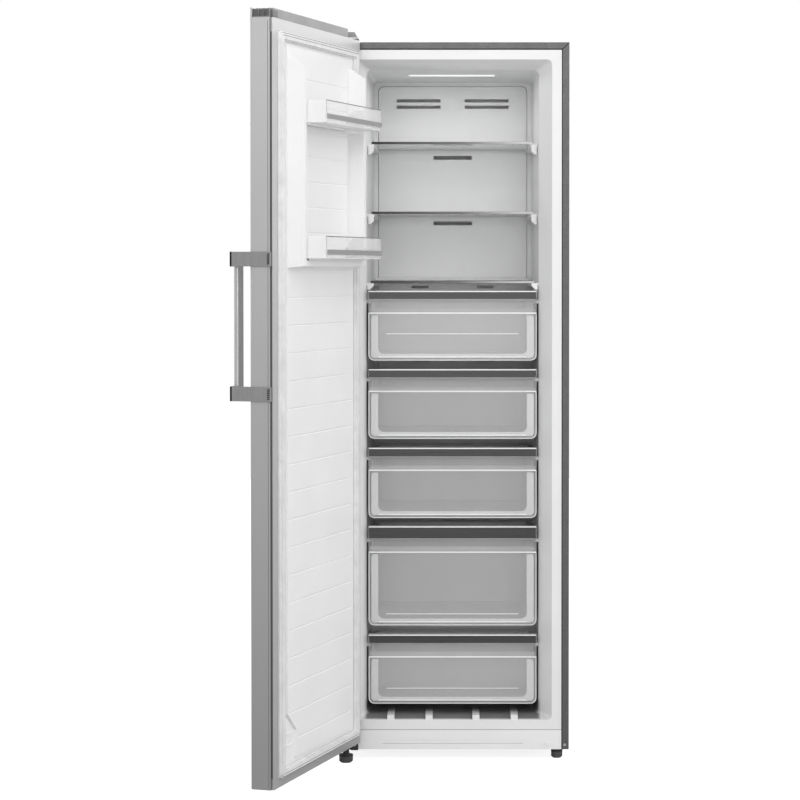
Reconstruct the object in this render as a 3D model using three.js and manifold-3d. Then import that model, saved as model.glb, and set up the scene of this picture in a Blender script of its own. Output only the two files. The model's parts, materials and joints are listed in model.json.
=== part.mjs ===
// An upright freezer with its door open: a foamed cabinet with a no-frost evaporator behind a
// slotted cover, three glass shelves, five drawers, and a door with two bins and a bar handle.
// Millimetres. X runs to the right, Y from the front to the back and Z up. The pieces are drawn in
// the cabinet's own frame (X = 0 in the middle, Y = 0 at the cabinet's front, Z = 0 on the floor),
// the door's as if it were closed. The whole is then moved so that the origin is on the floor, in the
// middle of the space that the freezer takes with its door open.
import * as THREE from "three";
import { mergeVertices } from "three/addons/utils/BufferGeometryUtils.js";
import Module from "manifold-3d";

const wasm = await Module();
wasm.setup();

// ---- Driving dimensions -------------------------------------------------------------------------

const GAP = 0.3; // between pieces that touch
const SHEET = 1; // steel sheet of the cabinet and the door
const LINER = 2; // moulded plastic sheet

// Cabinet
const CABINET_WIDTH = 595;
const CABINET_HEIGHT = 1805;
const CABINET_DEPTH = 590;
const UNDERSIDE = 26.5; // of the cabinet above the floor
const FRAME_BAND = 19; // the steel sheet's turned-in edge round the front
const REAR_RETURN = 15; // the same round the back
const MITRE_GAP = 0.45;
const HALF_WIDTH = CABINET_WIDTH / 2;
const TOP = UNDERSIDE + CABINET_HEIGHT;

// Shelves, drawers, bins and handle stand at heights that were measured on a cabinet 1805 mm high,
// and spread out or draw together with another height.
const HEIGHT_RATIO = CABINET_HEIGHT / 1805;
const atHeight = (z) => UNDERSIDE + (z - UNDERSIDE) * HEIGHT_RATIO;

// Inside of the cabinet: how far its mouth and its room lie within the cabinet's outside
const MOUTH_BORDER = 43.5;
const SIDE_WALL = { throat: 76, rear: 81.5 };
const TOP_WALL = 65.5;
const REAR_WALL = 60;
const OPENING_HALF_WIDTH = HALF_WIDTH - MOUTH_BORDER;
const OPENING_TOP = TOP - MOUTH_BORDER;
const OPENING_BOTTOM = 102;
const FLARE_DEPTH = 55; // the liner's front edge slopes in over this depth
const THROAT_HALF_WIDTH = HALF_WIDTH - SIDE_WALL.throat;
const REAR_HALF_WIDTH = HALF_WIDTH - SIDE_WALL.rear;
const CAVITY_TOP = TOP - TOP_WALL;
const CAVITY_FLOOR = 108;
const CAVITY_BACK = CABINET_DEPTH - REAR_WALL;
const CAVITY_CORNER = 12;
const STEP_TOP = atHeight(325); // the step over the compressor
const STEP_FRONT = CAVITY_BACK - 268;
const COMPARTMENT_FRONT = STEP_FRONT + 48;
const COMPARTMENT_TOP = STEP_TOP - 45;
const FLOOR_RIB = { width: 18, height: 6, length: 190, places: [-158, -60, 60, 158] };

// Kick panel and base
const KICK_TOP = 77;
const KICK_DEPTH = 14.5;
const KICK_WALL = 2.5;
const KICK_LINE = { halfWidth: HALF_WIDTH - 117.5, low: 42, high: 51, depth: 0.8 };
const BASE_SHEET = 1.5;
const FOOT = { x: HALF_WIDTH - 29.5, y: 33, radius: 14, height: 20, stud: 4 };
const HINGE_FOOT = { x: 26.5 - HALF_WIDTH, y: -28, radius: 17, height: 22, stud: 4 };
const BOSS_RADIUS = 8;
const ROLLER = { x: HALF_WIDTH - 57.5, y: CABINET_DEPTH - 38, radius: 12, width: 14, axle: 2.5 };
const ROLLER_EAR = { thickness: 2, length: 20 };

// Evaporator cover, fan, lamp
const COVER_FACE = CAVITY_BACK - 50;
const COVER_WALL = 3;
const COVER_HALF_WIDTH = REAR_HALF_WIDTH - 13;
const COVER_TOP = CAVITY_TOP - 10;
const COVER_CORNER = 16;
const TOP_SLOT = { x: 93.5, width: 120, height: 9, levels: [COVER_TOP - 39.3, COVER_TOP - 56.6] };
const MIDDLE_SLOT = { width: 105, height: 10.7, levels: [atHeight(1560.6), atHeight(1380.9)] };
const LOW_SLOT = { x: 89, width: 44, height: 7, levels: [atHeight(1206), atHeight(1003)] };
const FAN = { z: atHeight(900), radius: 52, hub: 17, depth: 13, blades: 7, front: COVER_FACE + 8 };
const FAN_SHROUD = { half: 66, depth: 20, running: 3, spoke: 5, shaft: 2.5 };
const COIL = {
  halfWidth: COVER_HALF_WIDTH - 18,
  low: STEP_TOP + 55,
  high: STEP_TOP + 295,
  front: COVER_FACE + 8,
  back: CAVITY_BACK - 6,
};
const COIL_FINS = { count: 11, thickness: 1.2 };
const COIL_TUBES = { rows: 4, radius: 4.5 };
const LAMP = { x: -2, y: 204, length: 225, width: 30, thickness: 3 };

// Compressor compartment
const COMPRESSOR = { x: 70, y: CABINET_DEPTH - 135, radius: 78, height: 165, foot: 12, plate: 3 };
const DRIP_TRAY = { length: 190, width: 130, height: 28, wall: 2 };
const CONTROL_BOX = { x: -150, y: CABINET_DEPTH - 120, length: 120, width: 150, height: 90 };
const REAR_COVER = {
  halfWidth: HALF_WIDTH - 7.5,
  low: 30,
  high: COMPARTMENT_TOP + 8,
  thickness: 1.5,
  rows: 4,
  columns: 9,
};
const REAR_SLOT = { length: 40, height: 7 };
const REAR_BEAD = { width: 60, depth: 4, places: [-170, 0, 170], margin: 70 };

// Shelves: the underside of each glass and its front edge
const SHELVES = [
  { name: "top", z: atHeight(1580), front: 120 },
  { name: "middle", z: atHeight(1399), front: 120 },
  { name: "bottom", z: atHeight(1219.5), front: 60 },
];
const GLASS = 4;
const SHELF_HALF_WIDTH = REAR_HALF_WIDTH - 5;
const SHELF_BACK = COVER_FACE - 6;
const SHELF_TRIM = { height: 12, depth: 14, wall: 2.5 };
const LEDGE_HEIGHT = 8;
const LEDGE_INNER = SHELF_HALF_WIDTH - 8; // a shelf's ledge reaches in to here

// Drawers, from the top: the heights of each front's parts and the tub's back end
const TUB_BACK = COVER_FACE - 40;
const LOWEST_TUB_BACK = STEP_FRONT - 15;
const DRAWERS = [
  { top: 1199, stripFoot: 1178, ridge: 1144, bottom: 1020, back: TUB_BACK },
  { top: 998, stripFoot: 977, ridge: 942, bottom: 819, back: TUB_BACK },
  { top: 796, stripFoot: 774, ridge: 740, bottom: 615, back: TUB_BACK },
  { top: 594, stripFoot: 563, ridge: 531, bottom: 338, back: TUB_BACK },
  { top: 315, stripFoot: 293, ridge: 259, bottom: 136, back: LOWEST_TUB_BACK },
].map(({ top, stripFoot, ridge, bottom, back }) => ({
  top: atHeight(top),
  stripFoot: atHeight(stripFoot),
  ridge: atHeight(ridge),
  bottom: atHeight(bottom),
  back,
}));
const DRAWER_HALF_WIDTH = THROAT_HALF_WIDTH - 5.5;
const DRAWER_FACE = 44; // Y of the front's main face
const DRAWER_STRIP_FACE = 40;
const DRAWER_GRIP_DEPTH = 16; // how far the finger groove goes behind the main face
const DRAWER_FRONT_WALL = 3;
const DRAWER_CORNER = 15;
const TUB_WALL = 2.5;
const TUB_FRONT_HALF_WIDTH = DRAWER_HALF_WIDTH - 8;
const TUB_REAR_HALF_WIDTH = DRAWER_HALF_WIDTH - 13;
const TUB_CORNER = 18;
const TUB_RIM = { out: 6, height: 3 };
const TUB_LIFT = 5; // of the tub's floor above the front's lower edge
const RUNNER_HEIGHT = 8;
const RUNNER_INNER = TUB_FRONT_HALF_WIDTH + 1.5;

// Door: heights from the floor, and its place in front of the cabinet
const DOOR_OPEN_DEGREES = 107.4;
const DOOR_THICKNESS = 57;
const DOOR_GAP = 12; // gasket's space between the door's inner face and the cabinet
const DOOR_BOTTOM = 50;
const DOOR_FRAME_TOP = TOP + 1.5;
const DOOR_TOP = DOOR_FRAME_TOP + 23; // of the cap
const HINGE_FROM_SIDE = 25; // of the door to the hinge axis
const HINGE_FROM_FACE = 32; // of the door's inner face to the hinge axis
const SKIN_DEPTH = 50; // the side of the outer sheet
const SKIN_CORNER = 6;
const SKIN_LIP = 6;
const SKIN_NOTCH = 30; // cut from the sheet's top corner to clear the upper hinge
const GROOVE_DEPTH = 5; // of the channel along the door's edge
const FRAME_PLATE = 1.5;
const FRAME_SIDE = 30;
const FRAME_TOP_WIDTH = 28;
const FRAME_BOTTOM_WIDTH = 21;
const CAP_NOTCH = 86; // the top cap leaves this length free at the hinge
const CAP_INSET = 2; // the caps' ends inside the sheet
const GASKET = { width: 22, base: 5, crown: 15, free: 0.5, corner: 10 };

// Door liner: a raised panel, and over it two upright walls that hold the bins
const PANEL_RISE = 6;
const PANEL_HALF_WIDTH = HALF_WIDTH - 77.5;
const PANEL_LOW = 105;
const PANEL_HIGH = DOOR_FRAME_TOP - 58;
const PANEL_NOTCH = { width: 54, low: 170, high: 213 };
const NOTCH_BAR = { length: 46, height: 3, rise: 2, levels: [138, 165] };
const WALL_RISE = 46;
const WALL_RIDGE_OUTER = PANEL_HALF_WIDTH - 6.5;
const WALL_RIDGE_INNER = PANEL_HALF_WIDTH - 22.5;
const WALL_FOOT_INNER = PANEL_HALF_WIDTH - 24.5;
const WALL_LOW = atHeight(1256);
const WALL_LOW_RIDGE = WALL_LOW + 6;
const WALL_HIGH = PANEL_HIGH - 15;
const WALL_HIGH_RIDGE = WALL_HIGH - 31;
const LINER_GROOVE = { width: 8, depth: 1.5, halfLength: PANEL_HALF_WIDTH - 8 };
const LOWER_GROOVES = { first: atHeight(1187), last: atHeight(148.6), count: 17 };
const UPPER_GROOVES = { first: atHeight(1703), last: atHeight(1340.6), count: 7 };
const LUG = { length: 6, height: 5, from: 10, to: 40 };

// Door bins
const BINS = [
  { name: "upper", z: atHeight(1596) },
  { name: "lower", z: atHeight(1279) },
];
const BIN_HALF_WIDTH = WALL_RIDGE_INNER - 3.5;
const BIN_HEIGHT = 53;
const BIN_BACK = 8; // from the door's inner face
const BIN_FRONT = 93;
const BIN_WALL = 2.5;
const BIN_BACK_HEIGHT = 30;
const BIN_STRIP = { low: 8, high: 22, proud: 1.5 };

// Handle
const HANDLE = {
  low: atHeight(949),
  high: atHeight(1294.5),
  reach: 48,
  width: 33,
  thickness: 11.5,
  inset: 19.5,
};
const HANDLE_BRACKET = { height: 34, plate: 4, corner: 6, hookDepth: 3.5, hook: 4 };

// Hinges: how far each piece lies in from the cabinet's side, and how far it reaches across
const PIN_RADIUS = 4;
const PIN_RUNNING = 0.3;
const PIN_DEPTH = 18; // into the door
const PIN_WASHER = { radius: 8, thickness: 2 };
const TOP_ARM = { low: 3, thickness: 4, side: 3.5, width: 58, front: -60, back: 70 };
const HINGE_COVER = { side: 6, width: 52, front: -56, back: 72, height: 13, wall: 2, slope: 7 };
const BOTTOM_ARM = { side: 3.5, width: 52, front: -60, low: 38, thickness: 3, high: 49 };

// ---- Worked-out places --------------------------------------------------------------------------

const BASE_TOP = UNDERSIDE + BASE_SHEET;
const INNER_HALF_WIDTH = HALF_WIDTH - SHEET - GAP;
const DOOR_INNER = -DOOR_GAP;
const DOOR_OUTER = DOOR_INNER - DOOR_THICKNESS;
const HINGE_X = -HALF_WIDTH + HINGE_FROM_SIDE;
const HINGE_Y = DOOR_INNER - HINGE_FROM_FACE;
const DOOR_ANGLE = THREE.MathUtils.degToRad(DOOR_OPEN_DEGREES);
const FRAME_INNER = HALF_WIDTH - FRAME_SIDE;
const FRAME_HIGH = DOOR_FRAME_TOP - FRAME_TOP_WIDTH;
const FRAME_LOW = DOOR_BOTTOM + FRAME_BOTTOM_WIDTH;

// Half the cavity's width at a depth behind the flare.
const cavityHalfWidth = (y) =>
  THREE.MathUtils.mapLinear(y, FLARE_DEPTH, CAVITY_BACK, THROAT_HALF_WIDTH, REAR_HALF_WIDTH);

// ---- Materials ----------------------------------------------------------------------------------

const material = (color, roughness, metalness = 0, opacity = 1) =>
  new THREE.MeshStandardMaterial({ color, roughness, metalness, opacity, transparent: opacity < 1 });

const steel = material(0xb9bbbd, 0.38, 0.8);
const darkSteel = material(0x85878a, 0.4, 0.8);
const zinc = material(0x9a9c9e, 0.45, 0.9);
const whitePlastic = material(0xf1f1ef, 0.45);
const greyPlastic = material(0xa9abad, 0.5);
const blackPlastic = material(0x2b2c2e, 0.6);
const clearPlastic = material(0xe9eeee, 0.12, 0, 0.4);
const glass = material(0xdfeae6, 0.06, 0, 0.35);
const foam = material(0xe3d9b6, 0.9);
const rubber = material(0xd9d9d7, 0.7);
const aluminium = material(0xc9cbcd, 0.35, 0.9);
const brushed = material(0xa4a6a8, 0.3, 0.95);
const lampLens = material(0xffffff, 0.3);
const blackSteel = material(0x1d1e20, 0.5, 0.4);

// ---- Joining and cutting ------------------------------------------------------------------------

function solidOf(geometry) {
  const bare = new THREE.BufferGeometry();
  bare.setAttribute("position", geometry.getAttribute("position").clone());
  bare.setIndex(geometry.index);
  const merged = mergeVertices(bare, 1e-4);
  return new wasm.Manifold(
    new wasm.Mesh({
      numProp: 3,
      vertProperties: merged.getAttribute("position").array,
      triVerts: new Uint32Array(merged.index.array),
    }),
  );
}

function geometryOf(solid) {
  const mesh = solid.getMesh();
  const geometry = new THREE.BufferGeometry();
  geometry.setAttribute("position", new THREE.BufferAttribute(mesh.vertProperties, 3));
  geometry.setIndex(new THREE.BufferAttribute(mesh.triVerts, 1));
  return geometry;
}

const join = (first, ...others) =>
  geometryOf(others.reduce((sum, other) => sum.add(solidOf(other)), solidOf(first)));
const cut = (first, ...tools) =>
  geometryOf(tools.reduce((rest, tool) => rest.subtract(solidOf(tool)), solidOf(first)));
const common = (first, second) => geometryOf(solidOf(first).intersect(solidOf(second)));

// ---- Basic forms --------------------------------------------------------------------------------

function block(x0, x1, y0, y1, z0, z1) {
  const geometry = new THREE.BoxGeometry(x1 - x0, y1 - y0, z1 - z0);
  return geometry.translate((x0 + x1) / 2, (y0 + y1) / 2, (z0 + z1) / 2);
}

const outline = (points) => new THREE.Shape(points.map(([u, v]) => new THREE.Vector2(u, v)));

// A rectangle with a radius at each corner: low left, low right, high right, high left.
function roundedOutline(u0, u1, v0, v1, radii) {
  const [a, b, c, d] = Array.isArray(radii) ? radii : [radii, radii, radii, radii];
  const shape = new THREE.Shape();
  shape.moveTo(u0 + a, v0);
  shape.lineTo(u1 - b, v0);
  if (b) shape.absarc(u1 - b, v0 + b, b, -Math.PI / 2, 0);
  shape.lineTo(u1, v1 - c);
  if (c) shape.absarc(u1 - c, v1 - c, c, 0, Math.PI / 2);
  shape.lineTo(u0 + d, v1);
  if (d) shape.absarc(u0 + d, v1 - d, d, Math.PI / 2, Math.PI);
  shape.lineTo(u0, v0 + a);
  if (a) shape.absarc(u0 + a, v0 + a, a, Math.PI, Math.PI * 1.5);
  return shape;
}

const prism = (shape, depth, curveSegments = 2) =>
  new THREE.ExtrudeGeometry(shape, { depth, bevelEnabled: false, curveSegments });

// A plan outline (X, Y) raised from z0 to z1.
const raise = (shape, z0, z1) => prism(shape, z1 - z0).translate(0, 0, z0);

// A front outline (X, Z) drawn back from y0 to y1.
const deepen = (shape, y0, y1) => prism(shape, y1 - y0).rotateX(Math.PI / 2).translate(0, y1, 0);

// A side outline (Y, Z) stretched from x0 to x1.
function widen(shape, x0, x1) {
  const turn = new THREE.Matrix4().makeBasis(
    new THREE.Vector3(0, 1, 0),
    new THREE.Vector3(0, 0, 1),
    new THREE.Vector3(1, 0, 0),
  );
  return prism(shape, x1 - x0).applyMatrix4(turn).translate(x0, 0, 0);
}

// A turned form round an upright axis, from [radius, height] pairs that start and end on the axis.
const turned = (profile, x, y, segments = 20) =>
  new THREE.LatheGeometry(profile.map(([r, z]) => new THREE.Vector2(r, z)), segments)
    .rotateX(Math.PI / 2)
    .translate(x, y, 0);

const post = (x, y, radius, z0, z1, segments = 16) =>
  turned([[0, z0], [radius, z0], [radius, z1], [0, z1]], x, y, segments);

// A rod along Y or X.
const rodY = (x, z, radius, y0, y1, segments = 20) =>
  new THREE.CylinderGeometry(radius, radius, y1 - y0, segments).translate(x, (y0 + y1) / 2, z);
const rodX = (y, z, radius, x0, x1, segments = 20) =>
  new THREE.CylinderGeometry(radius, radius, x1 - x0, segments)
    .rotateZ(-Math.PI / 2)
    .translate((x0 + x1) / 2, y, z);

// A body through front outlines of equal point counts, each { y, points: [[x, z], ...] }.
function loft(stations) {
  const count = stations[0].points.length;
  const positions = stations.flatMap(({ y, points }) => points.flatMap(([x, z]) => [x, y, z]));
  const index = [];
  for (let s = 0; s + 1 < stations.length; s++)
    for (let i = 0; i < count; i++) {
      const a = s * count + i;
      const b = s * count + ((i + 1) % count);
      index.push(a, b + count, b, a, a + count, b + count);
    }
  const last = (stations.length - 1) * count;
  for (let i = 1; i + 1 < count; i++) index.push(0, i, i + 1, last, last + i + 1, last + i);
  const geometry = new THREE.BufferGeometry();
  geometry.setAttribute("position", new THREE.Float32BufferAttribute(positions, 3));
  geometry.setIndex(index);
  return geometry;
}

// One station of a loft: a rounded rectangle at depth y, the same number of points for any size.
function station(y, halfWidth, low, high, corner) {
  const points = roundedOutline(-halfWidth, halfWidth, low, high, corner).getPoints(2);
  return { y, points: points.slice(0, -1).map((p) => [p.x, p.y]) };
}

function piece(name, geometry, finish) {
  const mesh = new THREE.Mesh(geometry, finish);
  mesh.name = name;
  return mesh;
}

// The same piece on the other side of the middle plane.
const mirrored = (geometry) => {
  const other = geometry.clone().scale(-1, 1, 1);
  const order = other.index
    ? Array.from(other.index.array)
    : Array.from({ length: other.getAttribute("position").count }, (_, i) => i);
  for (let i = 0; i < order.length; i += 3) [order[i], order[i + 1]] = [order[i + 1], order[i]];
  other.setIndex(order);
  return other;
};

// ---- Cabinet ------------------------------------------------------------------------------------

// The left side: a sheet with its front edge turned in and mitred at the top, and a rear return.
function leftSidePanel() {
  const high = TOP - SHEET - GAP;
  const mitre = TOP - MITRE_GAP;
  const wall = block(-HALF_WIDTH, -HALF_WIDTH + SHEET, 0, CABINET_DEPTH, UNDERSIDE, high);
  const band = outline([
    [-HALF_WIDTH, UNDERSIDE],
    [-HALF_WIDTH + FRAME_BAND, UNDERSIDE],
    [-HALF_WIDTH + FRAME_BAND, mitre - FRAME_BAND],
    [-HALF_WIDTH + mitre - high, high],
    [-HALF_WIDTH, high],
  ]);
  const back = block(
    -HALF_WIDTH, -HALF_WIDTH + REAR_RETURN, CABINET_DEPTH - SHEET, CABINET_DEPTH, UNDERSIDE, high,
  );
  return join(wall, deepen(band, 0, SHEET), back);
}

function topPanel() {
  const sheet = block(-HALF_WIDTH, HALF_WIDTH, 0, CABINET_DEPTH, TOP - SHEET, TOP);
  const inner = HALF_WIDTH - FRAME_BAND;
  const low = TOP - FRAME_BAND;
  const band = outline([[-HALF_WIDTH, TOP], [-inner, low], [inner, low], [HALF_WIDTH, TOP]]);
  const reach = HALF_WIDTH - REAR_RETURN - GAP;
  const back = block(-reach, reach, CABINET_DEPTH - SHEET, CABINET_DEPTH, TOP - REAR_RETURN, TOP);
  return join(sheet, deepen(band, 0, SHEET), back);
}

// The back sheet, stiffened by upright pressed beads.
function rearPanel() {
  const front = CABINET_DEPTH + GAP;
  const half = HALF_WIDTH - SHEET;
  const low = COMPARTMENT_TOP + REAR_RETURN;
  const sheet = block(-half, half, front, front + SHEET, low, TOP - SHEET);
  const { width, depth, places, margin } = REAR_BEAD;
  const bead = (x) =>
    raise(
      outline([
        [x - width / 2, front + SHEET / 2],
        [x + width / 2, front + SHEET / 2],
        [x + width / 2 - depth, front + SHEET + depth],
        [x - width / 2 + depth, front + SHEET + depth],
      ]),
      low + margin,
      TOP - margin,
    );
  const hollow = (x) =>
    raise(
      outline([
        [x - width / 2 + SHEET, front - SHEET],
        [x + width / 2 - SHEET, front - SHEET],
        [x + width / 2 - depth - SHEET, front + depth],
        [x - width / 2 + depth + SHEET, front + depth],
      ]),
      low + margin + SHEET,
      TOP - margin - SHEET,
    );
  return cut(join(sheet, ...places.map(bead)), ...places.map(hollow));
}

// The base sheet with the levelling feet's bosses, and the ears and axles of the rear rollers.
function basePlate() {
  const plate = block(
    -INNER_HALF_WIDTH, INNER_HALF_WIDTH, KICK_DEPTH + GAP, CABINET_DEPTH - SHEET - GAP,
    UNDERSIDE, BASE_TOP,
  );
  const boss = post(FOOT.x, FOOT.y, BOSS_RADIUS, FOOT.height + GAP, UNDERSIDE + BASE_SHEET / 2);
  const ears = [-1, 1].flatMap((side) => {
    const middle = side * ROLLER.x;
    const reach = ROLLER.width / 2 + GAP;
    const front = ROLLER.y - ROLLER_EAR.length / 2;
    const back = ROLLER.y + ROLLER_EAR.length / 2;
    const low = ROLLER.radius - ROLLER.axle * 2;
    const ear = (x0) =>
      block(x0, x0 + ROLLER_EAR.thickness, front, back, low, UNDERSIDE + BASE_SHEET / 2);
    const outer = reach + ROLLER_EAR.thickness;
    return [
      ear(middle - outer),
      ear(middle + reach),
      rodX(ROLLER.y, ROLLER.radius, ROLLER.axle, middle - outer, middle + outer, 12),
    ];
  });
  return cut(
    join(plate, boss, ...ears),
    post(FOOT.x, FOOT.y, FOOT.stud + GAP, 0, BASE_TOP + 1),
  );
}

const roller = (side) => {
  const x = side * ROLLER.x;
  const half = ROLLER.width / 2;
  return cut(
    rodX(ROLLER.y, ROLLER.radius, ROLLER.radius, x - half, x + half, 24),
    rodX(ROLLER.y, ROLLER.radius, ROLLER.axle + GAP, x - half - 1, x + half + 1, 12),
  );
};

// A levelling foot: a tapered pad with a hexagon and a threaded stud.
function levellingFoot({ x, y, radius, height, stud }, studTop) {
  const shoulder = height - 4;
  const pad = turned(
    [[0, 0], [radius - 3, 0], [radius - 2, 2], [radius, height * 0.6], [radius, shoulder], [0, shoulder]],
    x, y, 20,
  );
  const hexagon = post(x, y, radius * 0.62, height - 5, height, 6);
  return join(pad, hexagon, post(x, y, stud, height - 1, studTop, 12));
}

// The plastic kick panel: a tray open to the back with a sunk line across its face.
function kickPanel() {
  const half = HALF_WIDTH - FRAME_BAND - GAP;
  const low = UNDERSIDE + GAP;
  const outer = deepen(roundedOutline(-half, half, low, KICK_TOP, 2), 0, KICK_DEPTH);
  const hollow = block(
    -half + KICK_WALL, half - KICK_WALL, KICK_WALL, KICK_DEPTH + 1,
    low + KICK_WALL, KICK_TOP - KICK_WALL,
  );
  const line = deepen(
    roundedOutline(-KICK_LINE.halfWidth, KICK_LINE.halfWidth, KICK_LINE.low, KICK_LINE.high, 3),
    -1, KICK_LINE.depth,
  );
  return cut(outer, hollow, line);
}

// ---- Insulation ---------------------------------------------------------------------------------

const foamFront = LINER + GAP;
const foamBack = CABINET_DEPTH - SHEET - GAP;
const foamLow = BASE_TOP + GAP;
const foamHigh = TOP - SHEET - GAP;
const foamOffset = LINER + GAP;

function leftFoam() {
  const throat = cavityHalfWidth(FLARE_DEPTH) + foamOffset;
  const rear = REAR_HALF_WIDTH + foamOffset;
  const plan = outline([
    [-INNER_HALF_WIDTH, foamFront],
    [-OPENING_HALF_WIDTH - foamOffset, foamFront],
    [-throat, FLARE_DEPTH],
    [-rear, CAVITY_BACK],
    [-rear, foamBack],
    [-INNER_HALF_WIDTH, foamBack],
  ]);
  const behindKickPanel = block(
    -HALF_WIDTH, 0, 0, KICK_DEPTH + GAP, UNDERSIDE, KICK_TOP + GAP,
  );
  return cut(raise(plan, foamLow, CAVITY_TOP + foamOffset), compartment(), behindKickPanel);
}

// The compressor's room is wider than the cavity, up to the side sheets.
const compartment = () =>
  block(-HALF_WIDTH, HALF_WIDTH, COMPARTMENT_FRONT, CABINET_DEPTH, UNDERSIDE, COMPARTMENT_TOP);

function topFoam() {
  const side = outline([
    [foamFront, OPENING_TOP + foamOffset],
    [FLARE_DEPTH, CAVITY_TOP + foamOffset + GAP],
    [foamBack, CAVITY_TOP + foamOffset + GAP],
    [foamBack, foamHigh],
    [foamFront, foamHigh],
  ]);
  return widen(side, -INNER_HALF_WIDTH, INNER_HALF_WIDTH);
}

const betweenSides = THROAT_HALF_WIDTH - 6;

function floorFoam() {
  const front = KICK_DEPTH + GAP;
  const high = OPENING_BOTTOM - foamOffset;
  return block(-betweenSides, betweenSides, front, COMPARTMENT_FRONT, foamLow, high);
}

// The back wall, with the step over the compressor.
function rearFoam() {
  const stepFront = STEP_FRONT + foamOffset;
  const stepTop = STEP_TOP - foamOffset;
  const back = CAVITY_BACK + foamOffset;
  const side = outline([
    [stepFront, CAVITY_FLOOR - foamOffset],
    [COMPARTMENT_FRONT, CAVITY_FLOOR - foamOffset],
    [COMPARTMENT_FRONT, COMPARTMENT_TOP],
    [foamBack, COMPARTMENT_TOP],
    [foamBack, CAVITY_TOP + foamOffset],
    [back, CAVITY_TOP + foamOffset],
    [back, stepTop],
    [stepFront, stepTop],
  ]);
  return widen(side, -betweenSides, betweenSides);
}

// ---- Inner liner --------------------------------------------------------------------------------

// The cavity grown by an offset: the flared mouth, the tapering room and the step at its foot.
function cavity(offset, front) {
  const corner = CAVITY_CORNER + offset;
  const low = CAVITY_FLOOR - offset;
  const high = CAVITY_TOP + offset;
  const room = loft([
    station(front, OPENING_HALF_WIDTH + offset, OPENING_BOTTOM - offset, OPENING_TOP + offset, corner),
    station(FLARE_DEPTH, THROAT_HALF_WIDTH + offset, low, high, corner),
    station(CAVITY_BACK + offset, REAR_HALF_WIDTH + offset, low, high, corner),
  ]);
  const step = block(
    -HALF_WIDTH, HALF_WIDTH, STEP_FRONT + offset, CABINET_DEPTH, 0, STEP_TOP - offset,
  );
  return cut(room, step);
}

// A pair of moulded ledges under a shelf or a drawer's rim, reaching into the liner's walls.
const ledges = (inner, front, back, top, height) =>
  [-1, 1].map((side) => {
    const x = [side * inner, side * (HALF_WIDTH - 1)].sort((a, b) => a - b);
    return block(x[0], x[1], front, back, top - height, top);
  });

function innerLiner() {
  const half = HALF_WIDTH - FRAME_BAND - GAP;
  const flange = block(-half, half, 0, LINER, KICK_TOP + GAP, TOP - FRAME_BAND - GAP);
  const shell = cut(join(flange, cavity(LINER, LINER / 2)), cavity(0, 0), mouthCut());
  const supports = [
    ...SHELVES.flatMap(({ z, front }) =>
      ledges(LEDGE_INNER, front, SHELF_BACK, z - GAP, LEDGE_HEIGHT)),
    ...DRAWERS.flatMap((drawer) =>
      ledges(RUNNER_INNER, FLARE_DEPTH + 8, drawer.back - 4, rimLow(drawer) - GAP, RUNNER_HEIGHT)),
    ...FLOOR_RIB.places.map((x) =>
      block(
        x - FLOOR_RIB.width / 2, x + FLOOR_RIB.width / 2, LINER, FLOOR_RIB.length,
        OPENING_BOTTOM - LINER, CAVITY_FLOOR + FLOOR_RIB.height,
      )),
  ].map((support) => common(support, cavity(LINER / 2, LINER / 2)));
  return join(shell, ...supports);
}

// Opens the flange over the flared mouth.
const mouthCut = () =>
  deepen(
    roundedOutline(-OPENING_HALF_WIDTH, OPENING_HALF_WIDTH, OPENING_BOTTOM, OPENING_TOP, CAVITY_CORNER),
    -1, LINER / 2,
  );

// ---- Evaporator cover, coil, fan and lamp -------------------------------------------------------

const slotHole = (x, z, width, height) =>
  block(
    x - width / 2, x + width / 2, COVER_FACE - 1, COVER_FACE + COVER_WALL + 1,
    z - height / 2, z + height / 2,
  );

// A tray open to the back, its face slotted where the cold air comes out.
function evaporatorCover() {
  const low = STEP_TOP + GAP;
  const back = CAVITY_BACK - GAP;
  const radii = [2, 2, COVER_CORNER, COVER_CORNER];
  const body = deepen(
    roundedOutline(-COVER_HALF_WIDTH, COVER_HALF_WIDTH, low, COVER_TOP, radii), COVER_FACE, back,
  );
  const inner = COVER_HALF_WIDTH - COVER_WALL;
  const hollow = deepen(
    roundedOutline(-inner, inner, low + COVER_WALL, COVER_TOP - COVER_WALL, radii),
    COVER_FACE + COVER_WALL, back + 1,
  );
  const pairs = [TOP_SLOT, LOW_SLOT].flatMap(({ x, width, height, levels }) =>
    levels.flatMap((z) => [slotHole(-x, z, width, height), slotHole(x, z, width, height)]));
  const middle = MIDDLE_SLOT.levels.map((z) =>
    slotHole(0, z, MIDDLE_SLOT.width, MIDDLE_SLOT.height));
  return cut(body, hollow, ...pairs, ...middle);
}

// The finned evaporator: upright fins on tubes that run across, with thicker plates at the ends.
function evaporatorCoil() {
  const { halfWidth, low, high, front, back } = COIL;
  const { count, thickness } = COIL_FINS;
  const middle = (front + back) / 2;
  const plates = Array.from({ length: count }, (_, i) => {
    const x = THREE.MathUtils.lerp(-halfWidth, halfWidth, i / (count - 1));
    const thick = i % (count - 1) ? thickness : 2 * thickness;
    return block(x - thick / 2, x + thick / 2, front, back, low, high);
  });
  const tubes = Array.from({ length: COIL_TUBES.rows }, (_, i) => {
    const z = THREE.MathUtils.lerp(low, high, (i + 0.5) / COIL_TUBES.rows);
    return rodX(middle, z, COIL_TUBES.radius, -halfWidth, halfWidth, 6);
  });
  const foot = block(-halfWidth, halfWidth, back - 2, CAVITY_BACK - GAP, low, low + 6);
  return join(plates[0], ...plates.slice(1), ...tubes, foot);
}

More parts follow.
